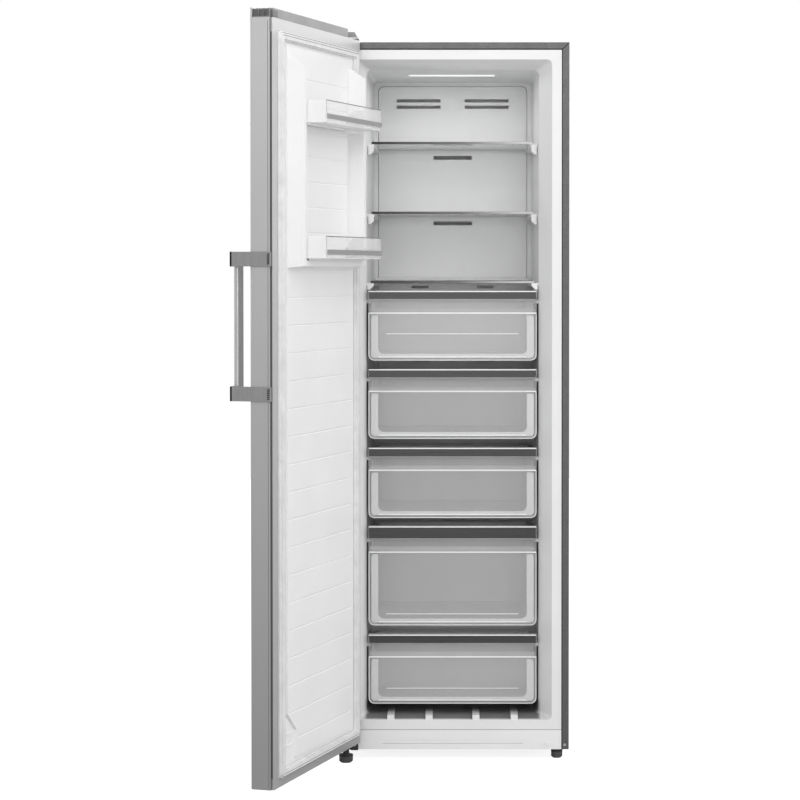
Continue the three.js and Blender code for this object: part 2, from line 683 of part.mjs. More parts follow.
// The fan's frame on the back wall: a square with a round mouth, three spokes, a motor and its shaft.
function fanMotor() {
  const { z } = FAN;
  const { half, depth, running, spoke, shaft } = FAN_SHROUD;
  const back = CAVITY_BACK - GAP;
  const mouth = FAN.radius + running;
  const square = deepen(roundedOutline(-half, half, z - half, z + half, 8), FAN.front, back);
  const hole = rodY(0, z, mouth, FAN.front - 1, back + 1, 32);
  const spokes = [0, 1, 2].map((i) =>
    block(0, mouth + 2, back - 4, back, -spoke / 2, spoke / 2)
      .rotateY((i * 2 * Math.PI) / 3 + Math.PI / 2)
      .translate(0, 0, z));
  const motor = rodY(0, z, FAN.hub, back - depth, back, 20);
  const axle = rodY(0, z, shaft, FAN.front + 2, back - 1, 12);
  return join(cut(square, hole), ...spokes, motor, axle);
}

// An axial fan: a cupped hub with twisted blades.
function fanBlade() {
  const { z, radius, hub, depth, blades, front } = FAN;
  const blade = (i) => {
    const root = hub - 2;
    const plate = new THREE.BoxGeometry(radius - root, 1.6, depth + 5);
    const lean = plate.rotateX(Math.PI / 4.6).translate((radius + root) / 2, 0, 0);
    return lean
      .rotateX(-Math.PI / 2)
      .rotateY((i * 2 * Math.PI) / blades)
      .translate(0, front + depth / 2, z);
  };
  const body = rodY(0, z, hub, front, front + depth, 20);
  const bore = rodY(0, z, FAN_SHROUD.shaft + GAP, front + 1.5, front + depth + 1, 12);
  const all = join(body, ...Array.from({ length: blades }, (_, i) => blade(i)));
  const limits = rodY(0, z, radius, front, front + depth, 32);
  return cut(common(all, limits), bore);
}

const ledLamp = () => {
  const { x, y, length, width } = LAMP;
  const plan = roundedOutline(x - length / 2, x + length / 2, y - width / 2, y + width / 2, 5);
  return raise(plan, CAVITY_TOP - GAP - LAMP.thickness, CAVITY_TOP - GAP);
};

// ---- Compressor compartment ---------------------------------------------------------------------

function compressor() {
  const { x, y, radius, height, foot, plate } = COMPRESSOR;
  const low = BASE_TOP + GAP + foot;
  const high = low + height;
  const can = turned(
    [
      [0, low], [radius * 0.72, low], [radius * 0.92, low + 12], [radius, low + 34],
      [radius, high - 60], [radius * 0.9, high - 28], [radius * 0.66, high - 8],
      [radius * 0.3, high], [0, high],
    ],
    x, y, 20,
  );
  const seam = post(x, y, radius + 3, high - 76, high - 71, 20);
  const reach = radius + 12;
  const depth = reach * 0.7;
  const base = raise(
    roundedOutline(x - reach, x + reach, y - depth, y + depth, 14), low, low + plate,
  );
  const grommets = [-1, 1].flatMap((i) =>
    [-1, 1].map((j) =>
      post(x + i * (reach - 14), y + j * (depth - 14), 9, BASE_TOP + GAP, low + 1, 12)));
  return join(can, seam, base, ...grommets);
}

// The melt-water tray that sits on the warm compressor.
function dripTray() {
  const { length, width, height, wall } = DRIP_TRAY;
  const low = BASE_TOP + GAP + COMPRESSOR.foot + COMPRESSOR.height + GAP;
  const x0 = COMPRESSOR.x - length / 2;
  const y0 = COMPRESSOR.y - width / 2;
  const outer = raise(roundedOutline(x0, x0 + length, y0, y0 + width, 12), low, low + height);
  const inner = raise(
    roundedOutline(x0 + wall, x0 + length - wall, y0 + wall, y0 + width - wall, 12 - wall),
    low + wall, low + height + 1,
  );
  return cut(outer, inner);
}

function controlBox() {
  const { x, y, length, width, height } = CONTROL_BOX;
  const low = BASE_TOP + GAP;
  const plan = (inset) => {
    const halfX = length / 2 - inset;
    const halfY = width / 2 - inset;
    return roundedOutline(x - halfX, x + halfX, y - halfY, y + halfY, 5);
  };
  return join(raise(plan(3), low, low + height), raise(plan(0), low + height - 22, low + height - 2));
}

// The slotted sheet that closes the compartment at the back.
function compressorCover() {
  const { halfWidth, low, high, thickness, rows, columns } = REAR_COVER;
  const front = CABINET_DEPTH + GAP;
  const sheet = deepen(roundedOutline(-halfWidth, halfWidth, low, high, 4), front, front + thickness);
  const stepX = (2 * halfWidth) / columns;
  const stepZ = (high - low) / (rows + 1);
  const slots = Array.from({ length: rows * columns }, (_, i) => {
    const x = -halfWidth + ((i % columns) + 0.5) * stepX;
    const z = low + (Math.floor(i / columns) + 1) * stepZ;
    const halfX = REAR_SLOT.length / 2;
    const halfZ = REAR_SLOT.height / 2;
    return block(x - halfX, x + halfX, front - 1, front + thickness + 1, z - halfZ, z + halfZ);
  });
  return cut(sheet, ...slots);
}

// ---- Shelves ------------------------------------------------------------------------------------

const shelfGlass = ({ z, front }) =>
  raise(roundedOutline(-SHELF_HALF_WIDTH, SHELF_HALF_WIDTH, front, SHELF_BACK, 4), z, z + GLASS);

// The plastic bar pushed onto the glass's rear edge, which keeps food off the slots.
function shelfTrim({ z }) {
  const { height, depth, wall } = SHELF_TRIM;
  const back = SHELF_BACK + GAP + wall;
  const lip = z + GLASS + GAP;
  const side = outline([
    [back, z],
    [back, z + height],
    [back - wall, z + height],
    [SHELF_BACK + GAP - depth, lip + wall],
    [SHELF_BACK + GAP - depth, lip],
    [SHELF_BACK + GAP, lip],
    [SHELF_BACK + GAP, z],
  ]);
  return widen(side, -SHELF_HALF_WIDTH, SHELF_HALF_WIDTH);
}

// ---- Drawers ------------------------------------------------------------------------------------

const rimHigh = (drawer) => drawer.stripFoot;
const rimLow = (drawer) => rimHigh(drawer) - TUB_RIM.height;
const gripBack = DRAWER_FACE + DRAWER_GRIP_DEPTH;

// A tub's plan at an inset from its outside: tapering to the back, its rear corners rounded.
function tubPlan(drawer, inset, front) {
  const wide = TUB_FRONT_HALF_WIDTH - inset;
  const narrow = TUB_REAR_HALF_WIDTH - inset;
  const back = drawer.back - inset;
  const radius = TUB_CORNER - inset;
  const shape = new THREE.Shape();
  shape.moveTo(-wide, front);
  shape.lineTo(wide, front);
  shape.lineTo(narrow, back - radius);
  shape.absarc(narrow - radius, back - radius, radius, 0, Math.PI / 2);
  shape.absarc(-narrow + radius, back - radius, radius, Math.PI / 2, Math.PI);
  shape.lineTo(-wide, front);
  return shape;
}

// The tub: a floor, two sides and a back, with a rim along the sides that slides on the liner.
function drawerTub(drawer) {
  const front = gripBack + DRAWER_FRONT_WALL + GAP;
  const low = drawer.bottom + TUB_LIFT;
  const outer = raise(tubPlan(drawer, 0, front), low, rimHigh(drawer));
  const rim = raise(tubPlan(drawer, -TUB_RIM.out, front), rimLow(drawer), rimHigh(drawer));
  const hollow = raise(tubPlan(drawer, TUB_WALL, front - 1), low + TUB_WALL, rimHigh(drawer) + 1);
  const behind = block(-HALF_WIDTH, HALF_WIDTH, drawer.back, drawer.back + CABINET_DEPTH, low, TOP);
  return cut(join(outer, rim), hollow, behind);
}

// The clear front: the strip at the top, the finger groove under it, and the face below with its
// round lower corners and a border that returns to the tub.
function drawerFront({ top, stripFoot, ridge, bottom }) {
  const wall = DRAWER_FRONT_WALL;
  const half = DRAWER_HALF_WIDTH;
  const strip = DRAWER_STRIP_FACE;
  const side = outline([
    [strip, top],
    [strip, stripFoot],
    [gripBack, stripFoot - wall * 2],
    [gripBack, ridge + wall * 3],
    [DRAWER_FACE, ridge],
    [DRAWER_FACE, bottom],
    [DRAWER_FACE + wall, bottom],
    [DRAWER_FACE + wall, ridge + wall / 2],
    [gripBack + wall, ridge + wall * 2],
    [gripBack + wall, stripFoot - wall / 2],
    [strip + wall, stripFoot + wall],
    [strip + wall, top - wall],
    [gripBack, top - wall],
    [gripBack, top],
  ]);
  const shape = roundedOutline(-half, half, bottom, top, [DRAWER_CORNER, DRAWER_CORNER, 2, 2]);
  const panel = common(widen(side, -half, half), deepen(shape, strip - 1, gripBack + wall + 1));
  const inner = roundedOutline(
    -half + wall * 2, half - wall * 2, bottom + wall * 2, ridge + wall, DRAWER_CORNER - wall * 2,
  );
  const borderShape = roundedOutline(
    -half, half, bottom, ridge + wall, [DRAWER_CORNER, DRAWER_CORNER, 0, 0],
  );
  const border = cut(
    deepen(borderShape, DRAWER_FACE + wall / 2, gripBack + wall),
    deepen(inner, DRAWER_FACE, gripBack + wall + 1),
  );
  const openTop = block(
    -half + wall * 2, half - wall * 2, DRAWER_FACE + wall, gripBack, ridge - wall * 3, top,
  );
  const cheeks = [-1, 1].map((sign) => {
    const x = [sign * half, sign * (half - wall)].sort((a, b) => a - b);
    return common(
      block(x[0], x[1], strip + 1, gripBack + wall, ridge, stripFoot + wall),
      deepen(shape, strip, gripBack + wall),
    );
  });
  return join(panel, cut(border, openTop), ...cheeks);
}

// ---- Door ---------------------------------------------------------------------------------------

const inCornerRadius = SKIN_CORNER - SHEET;

// The outer sheet: the front, two sides with rounded edges and an inward lip. The sides stop under
// the top cap, and the front stands up over it.
function doorSkin() {
  const half = HALF_WIDTH;
  const back = DOOR_OUTER + SKIN_DEPTH;
  const outer = roundedOutline(-half, half, DOOR_OUTER, back, [SKIN_CORNER, SKIN_CORNER, 0, 0]);
  const inner = roundedOutline(
    -half + SHEET, half - SHEET, DOOR_OUTER + SHEET, back - SHEET,
    [inCornerRadius, inCornerRadius, 0, 0],
  );
  const mouth = half - SKIN_LIP;
  return cut(
    raise(outer, DOOR_BOTTOM, DOOR_TOP),
    raise(inner, DOOR_BOTTOM - 1, DOOR_TOP + 1),
    block(-mouth, mouth, back - SHEET * 2, back + 1, DOOR_BOTTOM - 1, DOOR_TOP + 1),
    block(
      -half - 1, half + 1, DOOR_OUTER + SKIN_CORNER + SHEET, back + 1, DOOR_FRAME_TOP, DOOR_TOP + 1,
    ),
    block(-half - 1, -half + SKIN_NOTCH, DOOR_OUTER - 1, back + 1, DOOR_FRAME_TOP, DOOR_TOP + 1),
  );
}

const grooveWall = HALF_WIDTH - GROOVE_DEPTH;

// The inner frame: a flat ring round the liner and, behind it, the floor of the edge channel.
function doorFrame() {
  const front = DOOR_INNER - FRAME_PLATE;
  const ring = roundedOutline(-HALF_WIDTH, HALF_WIDTH, DOOR_BOTTOM + GAP, DOOR_FRAME_TOP - GAP, 2);
  ring.holes.push(roundedOutline(-FRAME_INNER, FRAME_INNER, FRAME_LOW, FRAME_HIGH, 4));
  const wallBack = DOOR_INNER - FRAME_PLATE / 2;
  const wallFront = DOOR_OUTER + SKIN_DEPTH + GAP;
  const wall = FRAME_PLATE;
  const low = DOOR_BOTTOM + GAP;
  const high = DOOR_FRAME_TOP - GAP;
  const webs = [-1, 1].map((side) => {
    const x = [side * grooveWall, side * (grooveWall - wall)].sort((a, b) => a - b);
    return block(x[0], x[1], wallFront, wallBack, low, high);
  });
  return join(deepen(ring, front, DOOR_INNER), ...webs);
}

const doorCore = grooveWall - FRAME_PLATE - GAP; // half the width inside the frame's webs
const coreBack = DOOR_INNER - FRAME_PLATE - GAP;
const coreFront = DOOR_OUTER + SHEET + GAP;
const plugHigh = DOOR_FRAME_TOP - GAP;
const plugLow = DOOR_FRAME_TOP - FRAME_TOP_WIDTH + GAP;
const bottomPlugHigh = FRAME_LOW - GAP;

// The top cap: a plug inside the door that holds the upper hinge pin, and the cap proper, which
// stops short of the hinge and has ribs on its free end.
function doorTopCap() {
  const plug = block(-doorCore, doorCore, coreFront, coreBack, plugLow, plugHigh);
  const left = -HALF_WIDTH + CAP_NOTCH;
  const right = HALF_WIDTH - CAP_INSET;
  const top = DOOR_TOP - CAP_INSET;
  const front = DOOR_OUTER + SKIN_CORNER + SHEET + GAP;
  const capShape = roundedOutline(left, right, front, DOOR_INNER, [2, 2, 8, 2]);
  const cap = raise(capShape, DOOR_FRAME_TOP, top);
  const lip = block(left, right - SKIN_CORNER, coreFront, front + 1, DOOR_FRAME_TOP, top);
  const neck = block(left, doorCore, coreFront, coreBack, plugHigh - 1, DOOR_FRAME_TOP + 1);
  const pockets = [0, 1, 2].map((i) => {
    const y = THREE.MathUtils.lerp(front + 5, DOOR_INNER - 16, i / 2);
    return block(right - 6, right + 1, y - 4.5, y + 4.5, plugHigh + 3, top + 1);
  });
  const bore = post(HINGE_X, HINGE_Y, PIN_RADIUS + PIN_RUNNING, plugLow - 1, plugHigh + 1);
  return cut(join(plug, neck, cap, lip), ...pockets, bore);
}

function doorBottomCap() {
  const low = DOOR_BOTTOM - 1;
  const plug = block(-doorCore, doorCore, coreFront, coreBack, DOOR_BOTTOM + GAP, bottomPlugHigh);
  const bore = post(HINGE_X, HINGE_Y, PIN_RADIUS + PIN_RUNNING, low, bottomPlugHigh + 1);
  const grip = block(0, doorCore - 30, coreFront + 8, coreBack - 8, low, DOOR_BOTTOM + 8);
  return cut(plug, bore, grip);
}

// The raised parts of the liner, drawn in at their sides and lowered by an inset.
function raisedPanel(inset) {
  const half = PANEL_HALF_WIDTH - inset;
  const low = PANEL_LOW + inset;
  const high = PANEL_HIGH - inset;
  const notchX = PANEL_HALF_WIDTH - PANEL_NOTCH.width - inset;
  const shape = outline([
    [-half, low],
    [notchX, low],
    [notchX, PANEL_NOTCH.low],
    [half, PANEL_NOTCH.high],
    [half, high],
    [-half, high],
  ]);
  return deepen(shape, DOOR_INNER - FRAME_PLATE - inset, DOOR_INNER + PANEL_RISE - inset);
}

// The U-shaped wall round the bins: two uprights and the bar under the lower bin.
function raisedWall(inset) {
  const foot = DOOR_INNER - FRAME_PLATE - inset;
  const ridge = DOOR_INNER + WALL_RISE - inset;
  const uprights = [-1, 1].map((side) =>
    raise(
      outline(
        orderFor(side, [
          [side * (PANEL_HALF_WIDTH - inset - 0.5), foot],
          [side * (WALL_RIDGE_OUTER - inset), ridge],
          [side * (WALL_RIDGE_INNER + inset), ridge],
          [side * (WALL_FOOT_INNER + inset), foot],
        ]),
      ),
      WALL_LOW, WALL_HIGH,
    ));
  const barHalf = WALL_RIDGE_OUTER - 4;
  const bar = block(-barHalf, barHalf, foot, ridge, WALL_LOW, BAR_TOP - inset);
  const profile = outline([
    [foot, WALL_LOW + inset],
    [ridge, WALL_LOW_RIDGE + inset],
    [ridge, WALL_HIGH_RIDGE - inset],
    [foot, WALL_HIGH - inset],
  ]);
  return common(join(...uprights, bar), widen(profile, -HALF_WIDTH, HALF_WIDTH));
}

// Points listed anticlockwise for the right side, turned round for the left one.
const orderFor = (side, points) => (side > 0 ? points : points.slice().reverse());

const BAR_TOP = BINS[BINS.length - 1].z - 4;

// Grooves pressed across the panel, one above another.
function grooves() {
  const surface = DOOR_INNER + PANEL_RISE;
  const { width, depth, halfLength } = LINER_GROOVE;
  const groove = (z, left, right) =>
    widen(
      outline([[surface - depth, z], [surface + 1, z - width / 2], [surface + 1, z + width / 2]]),
      left, right,
    );
  const heights = ({ first, last, count }) =>
    Array.from({ length: count }, (_, i) => THREE.MathUtils.lerp(first, last, i / (count - 1)));
  const besideNotch = PANEL_HALF_WIDTH - PANEL_NOTCH.width - 8;
  const lower = heights(LOWER_GROOVES).map((z) =>
    groove(z, -halfLength, z < PANEL_NOTCH.high ? besideNotch : halfLength));
  const inner = WALL_FOOT_INNER - 6;
  const upper = heights(UPPER_GROOVES).map((z) => groove(z, -inner, inner));
  return [...lower, ...upper];
}

// Lugs on the inner sides of the raised wall that each bin stands on.
const binLugs = () =>
  BINS.flatMap(({ z }) =>
    [-1, 1].map((side) => {
      const x = [side * WALL_RIDGE_INNER, side * (WALL_FOOT_INNER - LUG.length)];
      x.sort((a, b) => a - b);
      return block(x[0], x[1], DOOR_INNER + LUG.from, DOOR_INNER + LUG.to, z - LUG.height, z - GAP);
    }));

// Short bars moulded across the notch in the panel's lower corner.
const notchBars = () =>
  NOTCH_BAR.levels.map((z) =>
    block(
      PANEL_HALF_WIDTH - NOTCH_BAR.length, PANEL_HALF_WIDTH, DOOR_INNER - FRAME_PLATE / 2,
      DOOR_INNER + NOTCH_BAR.rise, z - NOTCH_BAR.height / 2, z + NOTCH_BAR.height / 2,
    ));

function doorLiner() {
  const half = FRAME_INNER - GAP;
  const flange = deepen(
    roundedOutline(-half, half, FRAME_LOW + GAP, FRAME_HIGH - GAP, 4),
    DOOR_INNER - FRAME_PLATE, DOOR_INNER,
  );
  const raised = join(flange, raisedPanel(0), raisedWall(0));
  const hollow = join(raisedPanel(LINER), raisedWall(LINER));
  return join(cut(raised, hollow, ...grooves()), ...binLugs(), ...notchBars());
}

// The foam that fills the door and the liner's raised parts.
function doorFoam() {
  const slab = block(-doorCore, doorCore, coreFront, coreBack, bottomPlugHigh + GAP, plugLow - GAP);
  const panel = raisedPanel(LINER + GAP);
  const wall = raisedWall(LINER + GAP);
  return join(slab, panel, wall);
}

// The magnetic seal: a wide base on the liner's edge and a narrower crown.
function doorGasket() {
  const { width, base, crown, free, corner } = GASKET;
  const back = DOOR_INNER + GAP;
  const ring = (margin, wide) => {
    const half = FRAME_INNER - GAP - margin;
    const low = FRAME_LOW + GAP + margin;
    const high = FRAME_HIGH - GAP - margin;
    const shape = roundedOutline(-half, half, low, high, corner);
    shape.holes.push(roundedOutline(-half + wide, half - wide, low + wide, high - wide, 3));
    return shape;
  };
  const side = (width - crown) / 2;
  return join(
    deepen(ring(0, width), back, back + base),
    deepen(ring(side, crown), back + base / 2, -free),
  );
}

// ---- Door bins ----------------------------------------------------------------------------------

// The white tray: a floor, a low back and two full-height ends.
function binTray({ z }) {
  const back = DOOR_INNER + BIN_BACK;
  const front = DOOR_INNER + BIN_FRONT - BIN_WALL - GAP;
  const half = BIN_HALF_WIDTH;
  const inner = half - BIN_WALL;
  const top = z + BIN_HEIGHT + 1;
  const end = outline([
    [back, z],
    [front, z],
    [front, z + BIN_HEIGHT],
    [back + 10, z + BIN_HEIGHT],
    [back, z + BIN_BACK_HEIGHT + 8],
  ]);
  const body = widen(end, -half, half);
  const hollow = block(-inner, inner, back + BIN_WALL, front + 1, z + BIN_WALL, top);
  const low = block(-inner, inner, back - 1, back + BIN_WALL + 1, z + BIN_BACK_HEIGHT, top);
  return cut(body, hollow, low);
}

// The clear front with its raised strip and a lip under the tray's floor.
function binFront({ z }) {
  const back = DOOR_INNER + BIN_FRONT - BIN_WALL;
  const face = DOOR_INNER + BIN_FRONT;
  const half = BIN_HALF_WIDTH;
  const { low, high, proud } = BIN_STRIP;
  const side = outline([
    [back, z],
    [face, z],
    [face, z + low],
    [face + proud, z + low + 1],
    [face + proud, z + high - 1],
    [face, z + high],
    [face, z + BIN_HEIGHT],
    [back, z + BIN_HEIGHT],
  ]);
  return widen(side, -half, half);
}

// ---- Handle -------------------------------------------------------------------------------------

const barRight = HALF_WIDTH - HANDLE.inset;
const barFace = DOOR_OUTER - HANDLE.reach;

const handleBar = () =>
  raise(
    roundedOutline(barRight - HANDLE.width, barRight, barFace, barFace + HANDLE.thickness, 2.5),
    HANDLE.low, HANDLE.high,
  );

// A bracket: an arm from the bar's edge, round the corner and back along the door's side, hooked
// into the channel behind the outer sheet.
function handleBracket(low) {
  const { height, plate, corner, hookDepth, hook } = HANDLE_BRACKET;
  const inner = HALF_WIDTH + GAP;
  const outer = inner + plate;
  const back = DOOR_OUTER + SKIN_DEPTH;
  const armBack = barFace + HANDLE.thickness;
  const shape = new THREE.Shape();
  shape.moveTo(barRight + GAP, barFace);
  shape.lineTo(outer - corner, barFace);
  shape.absarc(outer - corner, barFace + corner, corner, -Math.PI / 2, 0);
  shape.lineTo(outer, back + GAP + hook);
  shape.lineTo(inner - hookDepth, back + GAP + hook);
  shape.lineTo(inner - hookDepth, back + GAP);
  shape.lineTo(inner, back + GAP);
  shape.lineTo(inner, armBack);
  shape.lineTo(barRight + GAP, armBack);
  return raise(shape, low, low + height);
}

// ---- Hinges -------------------------------------------------------------------------------------

// The upper hinge: a plate screwed to the cabinet's top that reaches over the door's notch.
function topHingeBracket() {
  const { low, thickness, side, width, front, back } = TOP_ARM;
  const left = side - HALF_WIDTH;
  const right = left + width;
  const plan = roundedOutline(left, right, front, back, 8);
  const arm = raise(plan, TOP + low, TOP + low + thickness);
  const foot = raise(roundedOutline(left, right, 4, back, 4), TOP + GAP, TOP + low + thickness / 2);
  const bore = post(HINGE_X, HINGE_Y, PIN_RADIUS + GAP, TOP, TOP + low + thickness + 1);
  return cut(join(arm, foot), bore);
}

function topHingeCover() {
  const { side, width, front, back, height, wall, slope } = HINGE_COVER;
  const left = side - HALF_WIDTH;
  const right = left + width;
  const low = TOP + TOP_ARM.low + TOP_ARM.thickness + GAP;
  const shell = (inset, top) =>
    outline([
      [left + inset, low - (inset ? 1 : 0)],
      [right - inset, low - (inset ? 1 : 0)],
      [right - slope - inset, top],
      [left + slope / 2 + inset, top],
    ]);
  return cut(
    deepen(shell(0, low + height), front, back),
    deepen(shell(wall, low + height - wall), front + wall, back - wall),
  );
}

// The lower hinge: a bracket screwed to the cabinet's front, with the pin and the left foot.
function bottomHingeBracket() {
  const { side, width, front, low, thickness, high } = BOTTOM_ARM;
  const left = side - HALF_WIDTH;
  const right = left + width;
  const upright = deepen(
    roundedOutline(left, right, UNDERSIDE + GAP, high, 3), -GAP - thickness, -GAP,
  );
  const arm = raise(roundedOutline(left, HINGE_X + 22, front, -GAP, [8, 8, 0, 0]), low, low + thickness);
  const boss = post(HINGE_FOOT.x, HINGE_FOOT.y, BOSS_RADIUS, HINGE_FOOT.height + GAP, low + thickness / 2);
  const bore = post(HINGE_FOOT.x, HINGE_FOOT.y, HINGE_FOOT.stud + GAP, 0, low + thickness + 1);
  const pinBore = post(HINGE_X, HINGE_Y, PIN_RADIUS + GAP, low - 1, low + thickness + 1);
  return cut(join(upright, arm, boss), bore, pinBore);
}

// A hinge pin with its washer, standing up from the lower arm or hanging from the upper one.
function lowerPin() {
  const { low, thickness } = BOTTOM_ARM;
  const seat = low + thickness + GAP;
  const washer = post(HINGE_X, HINGE_Y, PIN_WASHER.radius, seat, seat + PIN_WASHER.thickness);
  const pin = post(HINGE_X, HINGE_Y, PIN_RADIUS, low + 1, DOOR_BOTTOM + PIN_DEPTH);
  return join(washer, pin);
}

function upperPin() {
  const top = TOP + TOP_ARM.low + TOP_ARM.thickness;
  const head = post(HINGE_X, HINGE_Y, PIN_WASHER.radius - 1, top + GAP, top + GAP + PIN_WASHER.thickness);
  const pin = post(HINGE_X, HINGE_Y, PIN_RADIUS, DOOR_FRAME_TOP - PIN_DEPTH, top + GAP + 1);
  return join(head, pin);
}

// ---- Assembly -----------------------------------------------------------------------------------

const cabinet = new THREE.Group();
const sidePanel = leftSidePanel();
const hingeArmTop = BOTTOM_ARM.low + BOTTOM_ARM.thickness;
const sideFoam = leftFoam();
cabinet.add(
  piece("side_panel_left", sidePanel, darkSteel),
  piece("side_panel_right", mirrored(sidePanel), darkSteel),
  piece("top_panel", topPanel(), darkSteel),
  piece("rear_panel", rearPanel(), zinc),
  piece("base_plate", basePlate(), zinc),
  piece("kick_panel", kickPanel(), whitePlastic),
  piece("foam_side_left", sideFoam, foam),
  piece("foam_side_right", mirrored(sideFoam), foam),
  piece("foam_top", topFoam(), foam),
  piece("foam_floor", floorFoam(), foam),
  piece("foam_rear", rearFoam(), foam),
  piece("inner_liner", innerLiner(), whitePlastic),
  piece("evaporator_cover", evaporatorCover(), whitePlastic),
  piece("evaporator_coil", evaporatorCoil(), aluminium),
  piece("fan_motor", fanMotor(), blackPlastic),
  piece("fan_blade", fanBlade(), whitePlastic),
  piece("led_lamp", ledLamp(), lampLens),
  piece("compressor", compressor(), blackSteel),
  piece("drip_tray", dripTray(), blackPlastic),
  piece("control_box", controlBox(), greyPlastic),
  piece("compressor_cover", compressorCover(), zinc),
  piece("top_hinge_bracket", topHingeBracket(), zinc),
  piece("top_hinge_cover", topHingeCover(), greyPlastic),
  piece("bottom_hinge_bracket", bottomHingeBracket(), blackSteel),
  piece("upper_hinge_pin", upperPin(), zinc),
  piece("lower_hinge_pin", lowerPin(), zinc),
  piece("levelling_foot_right", levellingFoot(FOOT, BASE_TOP), blackPlastic),
  piece("levelling_foot_left", levellingFoot(HINGE_FOOT, hingeArmTop), blackPlastic),
  piece("rear_roller_left", roller(-1), blackPlastic),
  piece("rear_roller_right", roller(1), blackPlastic),
);
SHELVES.forEach((shelf) => {
  cabinet.add(piece(`shelf_${shelf.name}_glass`, shelfGlass(shelf), glass));
  cabinet.add(piece(`shelf_${shelf.name}_trim`, shelfTrim(shelf), whitePlastic));
});
DRAWERS.forEach((drawer, i) => {
  cabinet.add(piece(`drawer_${i + 1}_tub`, drawerTub(drawer), whitePlastic));
  cabinet.add(piece(`drawer_${i + 1}_front`, drawerFront(drawer), clearPlastic));
});

// The door's pieces are drawn closed, and turned about the hinge pins as one group.
const closedDoor = new THREE.Group();
closedDoor.position.set(-HINGE_X, -HINGE_Y, 0);
closedDoor.add(
  piece("door_skin", doorSkin(), steel),
  piece("door_frame", doorFrame(), steel),
  piece("door_top_cap", doorTopCap(), greyPlastic),
  piece("door_bottom_cap", doorBottomCap(), greyPlastic),
  piece("door_foam", doorFoam(), foam),
  piece("door_liner", doorLiner(), whitePlastic),
  piece("door_gasket", doorGasket(), rubber),
  piece("handle_bar", handleBar(), brushed),
  piece("handle_bracket_lower", handleBracket(HANDLE.low), brushed),
  piece("handle_bracket_upper", handleBracket(HANDLE.high - HANDLE_BRACKET.height), brushed),
);
BINS.forEach((bin) => {
  closedDoor.add(piece(`bin_${bin.name}_tray`, binTray(bin), whitePlastic));
  closedDoor.add(piece(`bin_${bin.name}_front`, binFront(bin), clearPlastic));
});
const door = new THREE.Group();
door.position.set(HINGE_X, HINGE_Y, 0);
door.rotation.z = -DOOR_ANGLE;
door.add(closedDoor);

// Where a point of the door, drawn closed, comes to lie with the door open.
function opened(x, y) {
  const dx = x - HINGE_X;
  const dy = y - HINGE_Y;
  const c = Math.cos(DOOR_ANGLE);
  const s = Math.sin(DOOR_ANGLE);
  return [HINGE_X + dx * c + dy * s, HINGE_Y - dx * s + dy * c];
}

// The origin goes on the floor, midway between the freezer's outermost points.
const bracketOuter = HALF_WIDTH + GAP + HANDLE_BRACKET.plate;
const bracketBack = DOOR_OUTER + SKIN_DEPTH + GAP + HANDLE_BRACKET.hook;
const bracketCorner = opened(bracketOuter - HANDLE_BRACKET.corner, barFace + HANDLE_BRACKET.corner);
const leftmost = bracketCorner[0] - HANDLE_BRACKET.corner;
const foremost = opened(bracketOuter, bracketBack)[1];
const rearmost = CABINET_DEPTH + GAP + SHEET + REAR_BEAD.depth;
const freezer = new THREE.Group();
freezer.position.set(-(leftmost + HALF_WIDTH) / 2, -(foremost + rearmost) / 2, 0);
freezer.add(cabinet, door);

export default freezer;
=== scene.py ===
import json
import math

import bpy
from mathutils import Matrix, Vector

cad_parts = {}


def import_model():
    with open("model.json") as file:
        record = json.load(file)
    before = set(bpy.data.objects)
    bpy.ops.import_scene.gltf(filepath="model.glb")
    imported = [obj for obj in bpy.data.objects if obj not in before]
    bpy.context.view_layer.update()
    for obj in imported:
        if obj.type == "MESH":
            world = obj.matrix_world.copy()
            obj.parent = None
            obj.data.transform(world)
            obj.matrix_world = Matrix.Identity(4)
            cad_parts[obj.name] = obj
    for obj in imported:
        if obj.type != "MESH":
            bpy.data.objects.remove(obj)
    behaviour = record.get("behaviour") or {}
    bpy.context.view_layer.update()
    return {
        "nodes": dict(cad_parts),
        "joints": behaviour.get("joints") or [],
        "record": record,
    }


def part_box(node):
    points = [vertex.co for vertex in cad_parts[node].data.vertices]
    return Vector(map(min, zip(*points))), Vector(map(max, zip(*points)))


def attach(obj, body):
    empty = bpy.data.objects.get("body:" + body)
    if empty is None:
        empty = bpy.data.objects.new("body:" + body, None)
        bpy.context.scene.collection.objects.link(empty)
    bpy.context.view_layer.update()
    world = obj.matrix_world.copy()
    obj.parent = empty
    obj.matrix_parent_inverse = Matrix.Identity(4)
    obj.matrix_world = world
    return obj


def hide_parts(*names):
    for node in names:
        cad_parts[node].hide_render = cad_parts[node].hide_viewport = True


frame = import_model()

# An upright freezer with its door open. Sizes are in millimetres in the cabinet's own frame, as in a
# maker's drawing: X from the cabinet's middle to the right, Y back from its front, Z up from the
# floor. The door's pieces are drawn with the door closed and then swung open about the hinge pins.

MM = 0.001

# ---- Places taken from the frame -----------------------------------------------------

LEFT_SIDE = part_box("side_panel_left")[0]
RIGHT_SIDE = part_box("side_panel_right")[1]
HALF_WIDTH = (RIGHT_SIDE.x - LEFT_SIDE.x) / 2 / MM
ORIGIN = Vector(((RIGHT_SIDE.x + LEFT_SIDE.x) / 2, LEFT_SIDE.y, 0))
HINGE = next(joint for joint in frame["joints"] if joint["name"] == "door_hinge")
HINGE_AXIS = Vector(HINGE["pos_m"])
DOOR_ANGLE = math.radians(HINGE["range_deg"][0])
DOOR_EDGE = HALF_WIDTH  # X of the door's free edge, closed
SEAT = 0.05  # a laid-on piece stands off its ground by this much
CUT_PAST = 5  # and a cutting form stands past what it cuts by this much
FACING = 0.9  # a direction lies along an axis when its share on that axis is larger

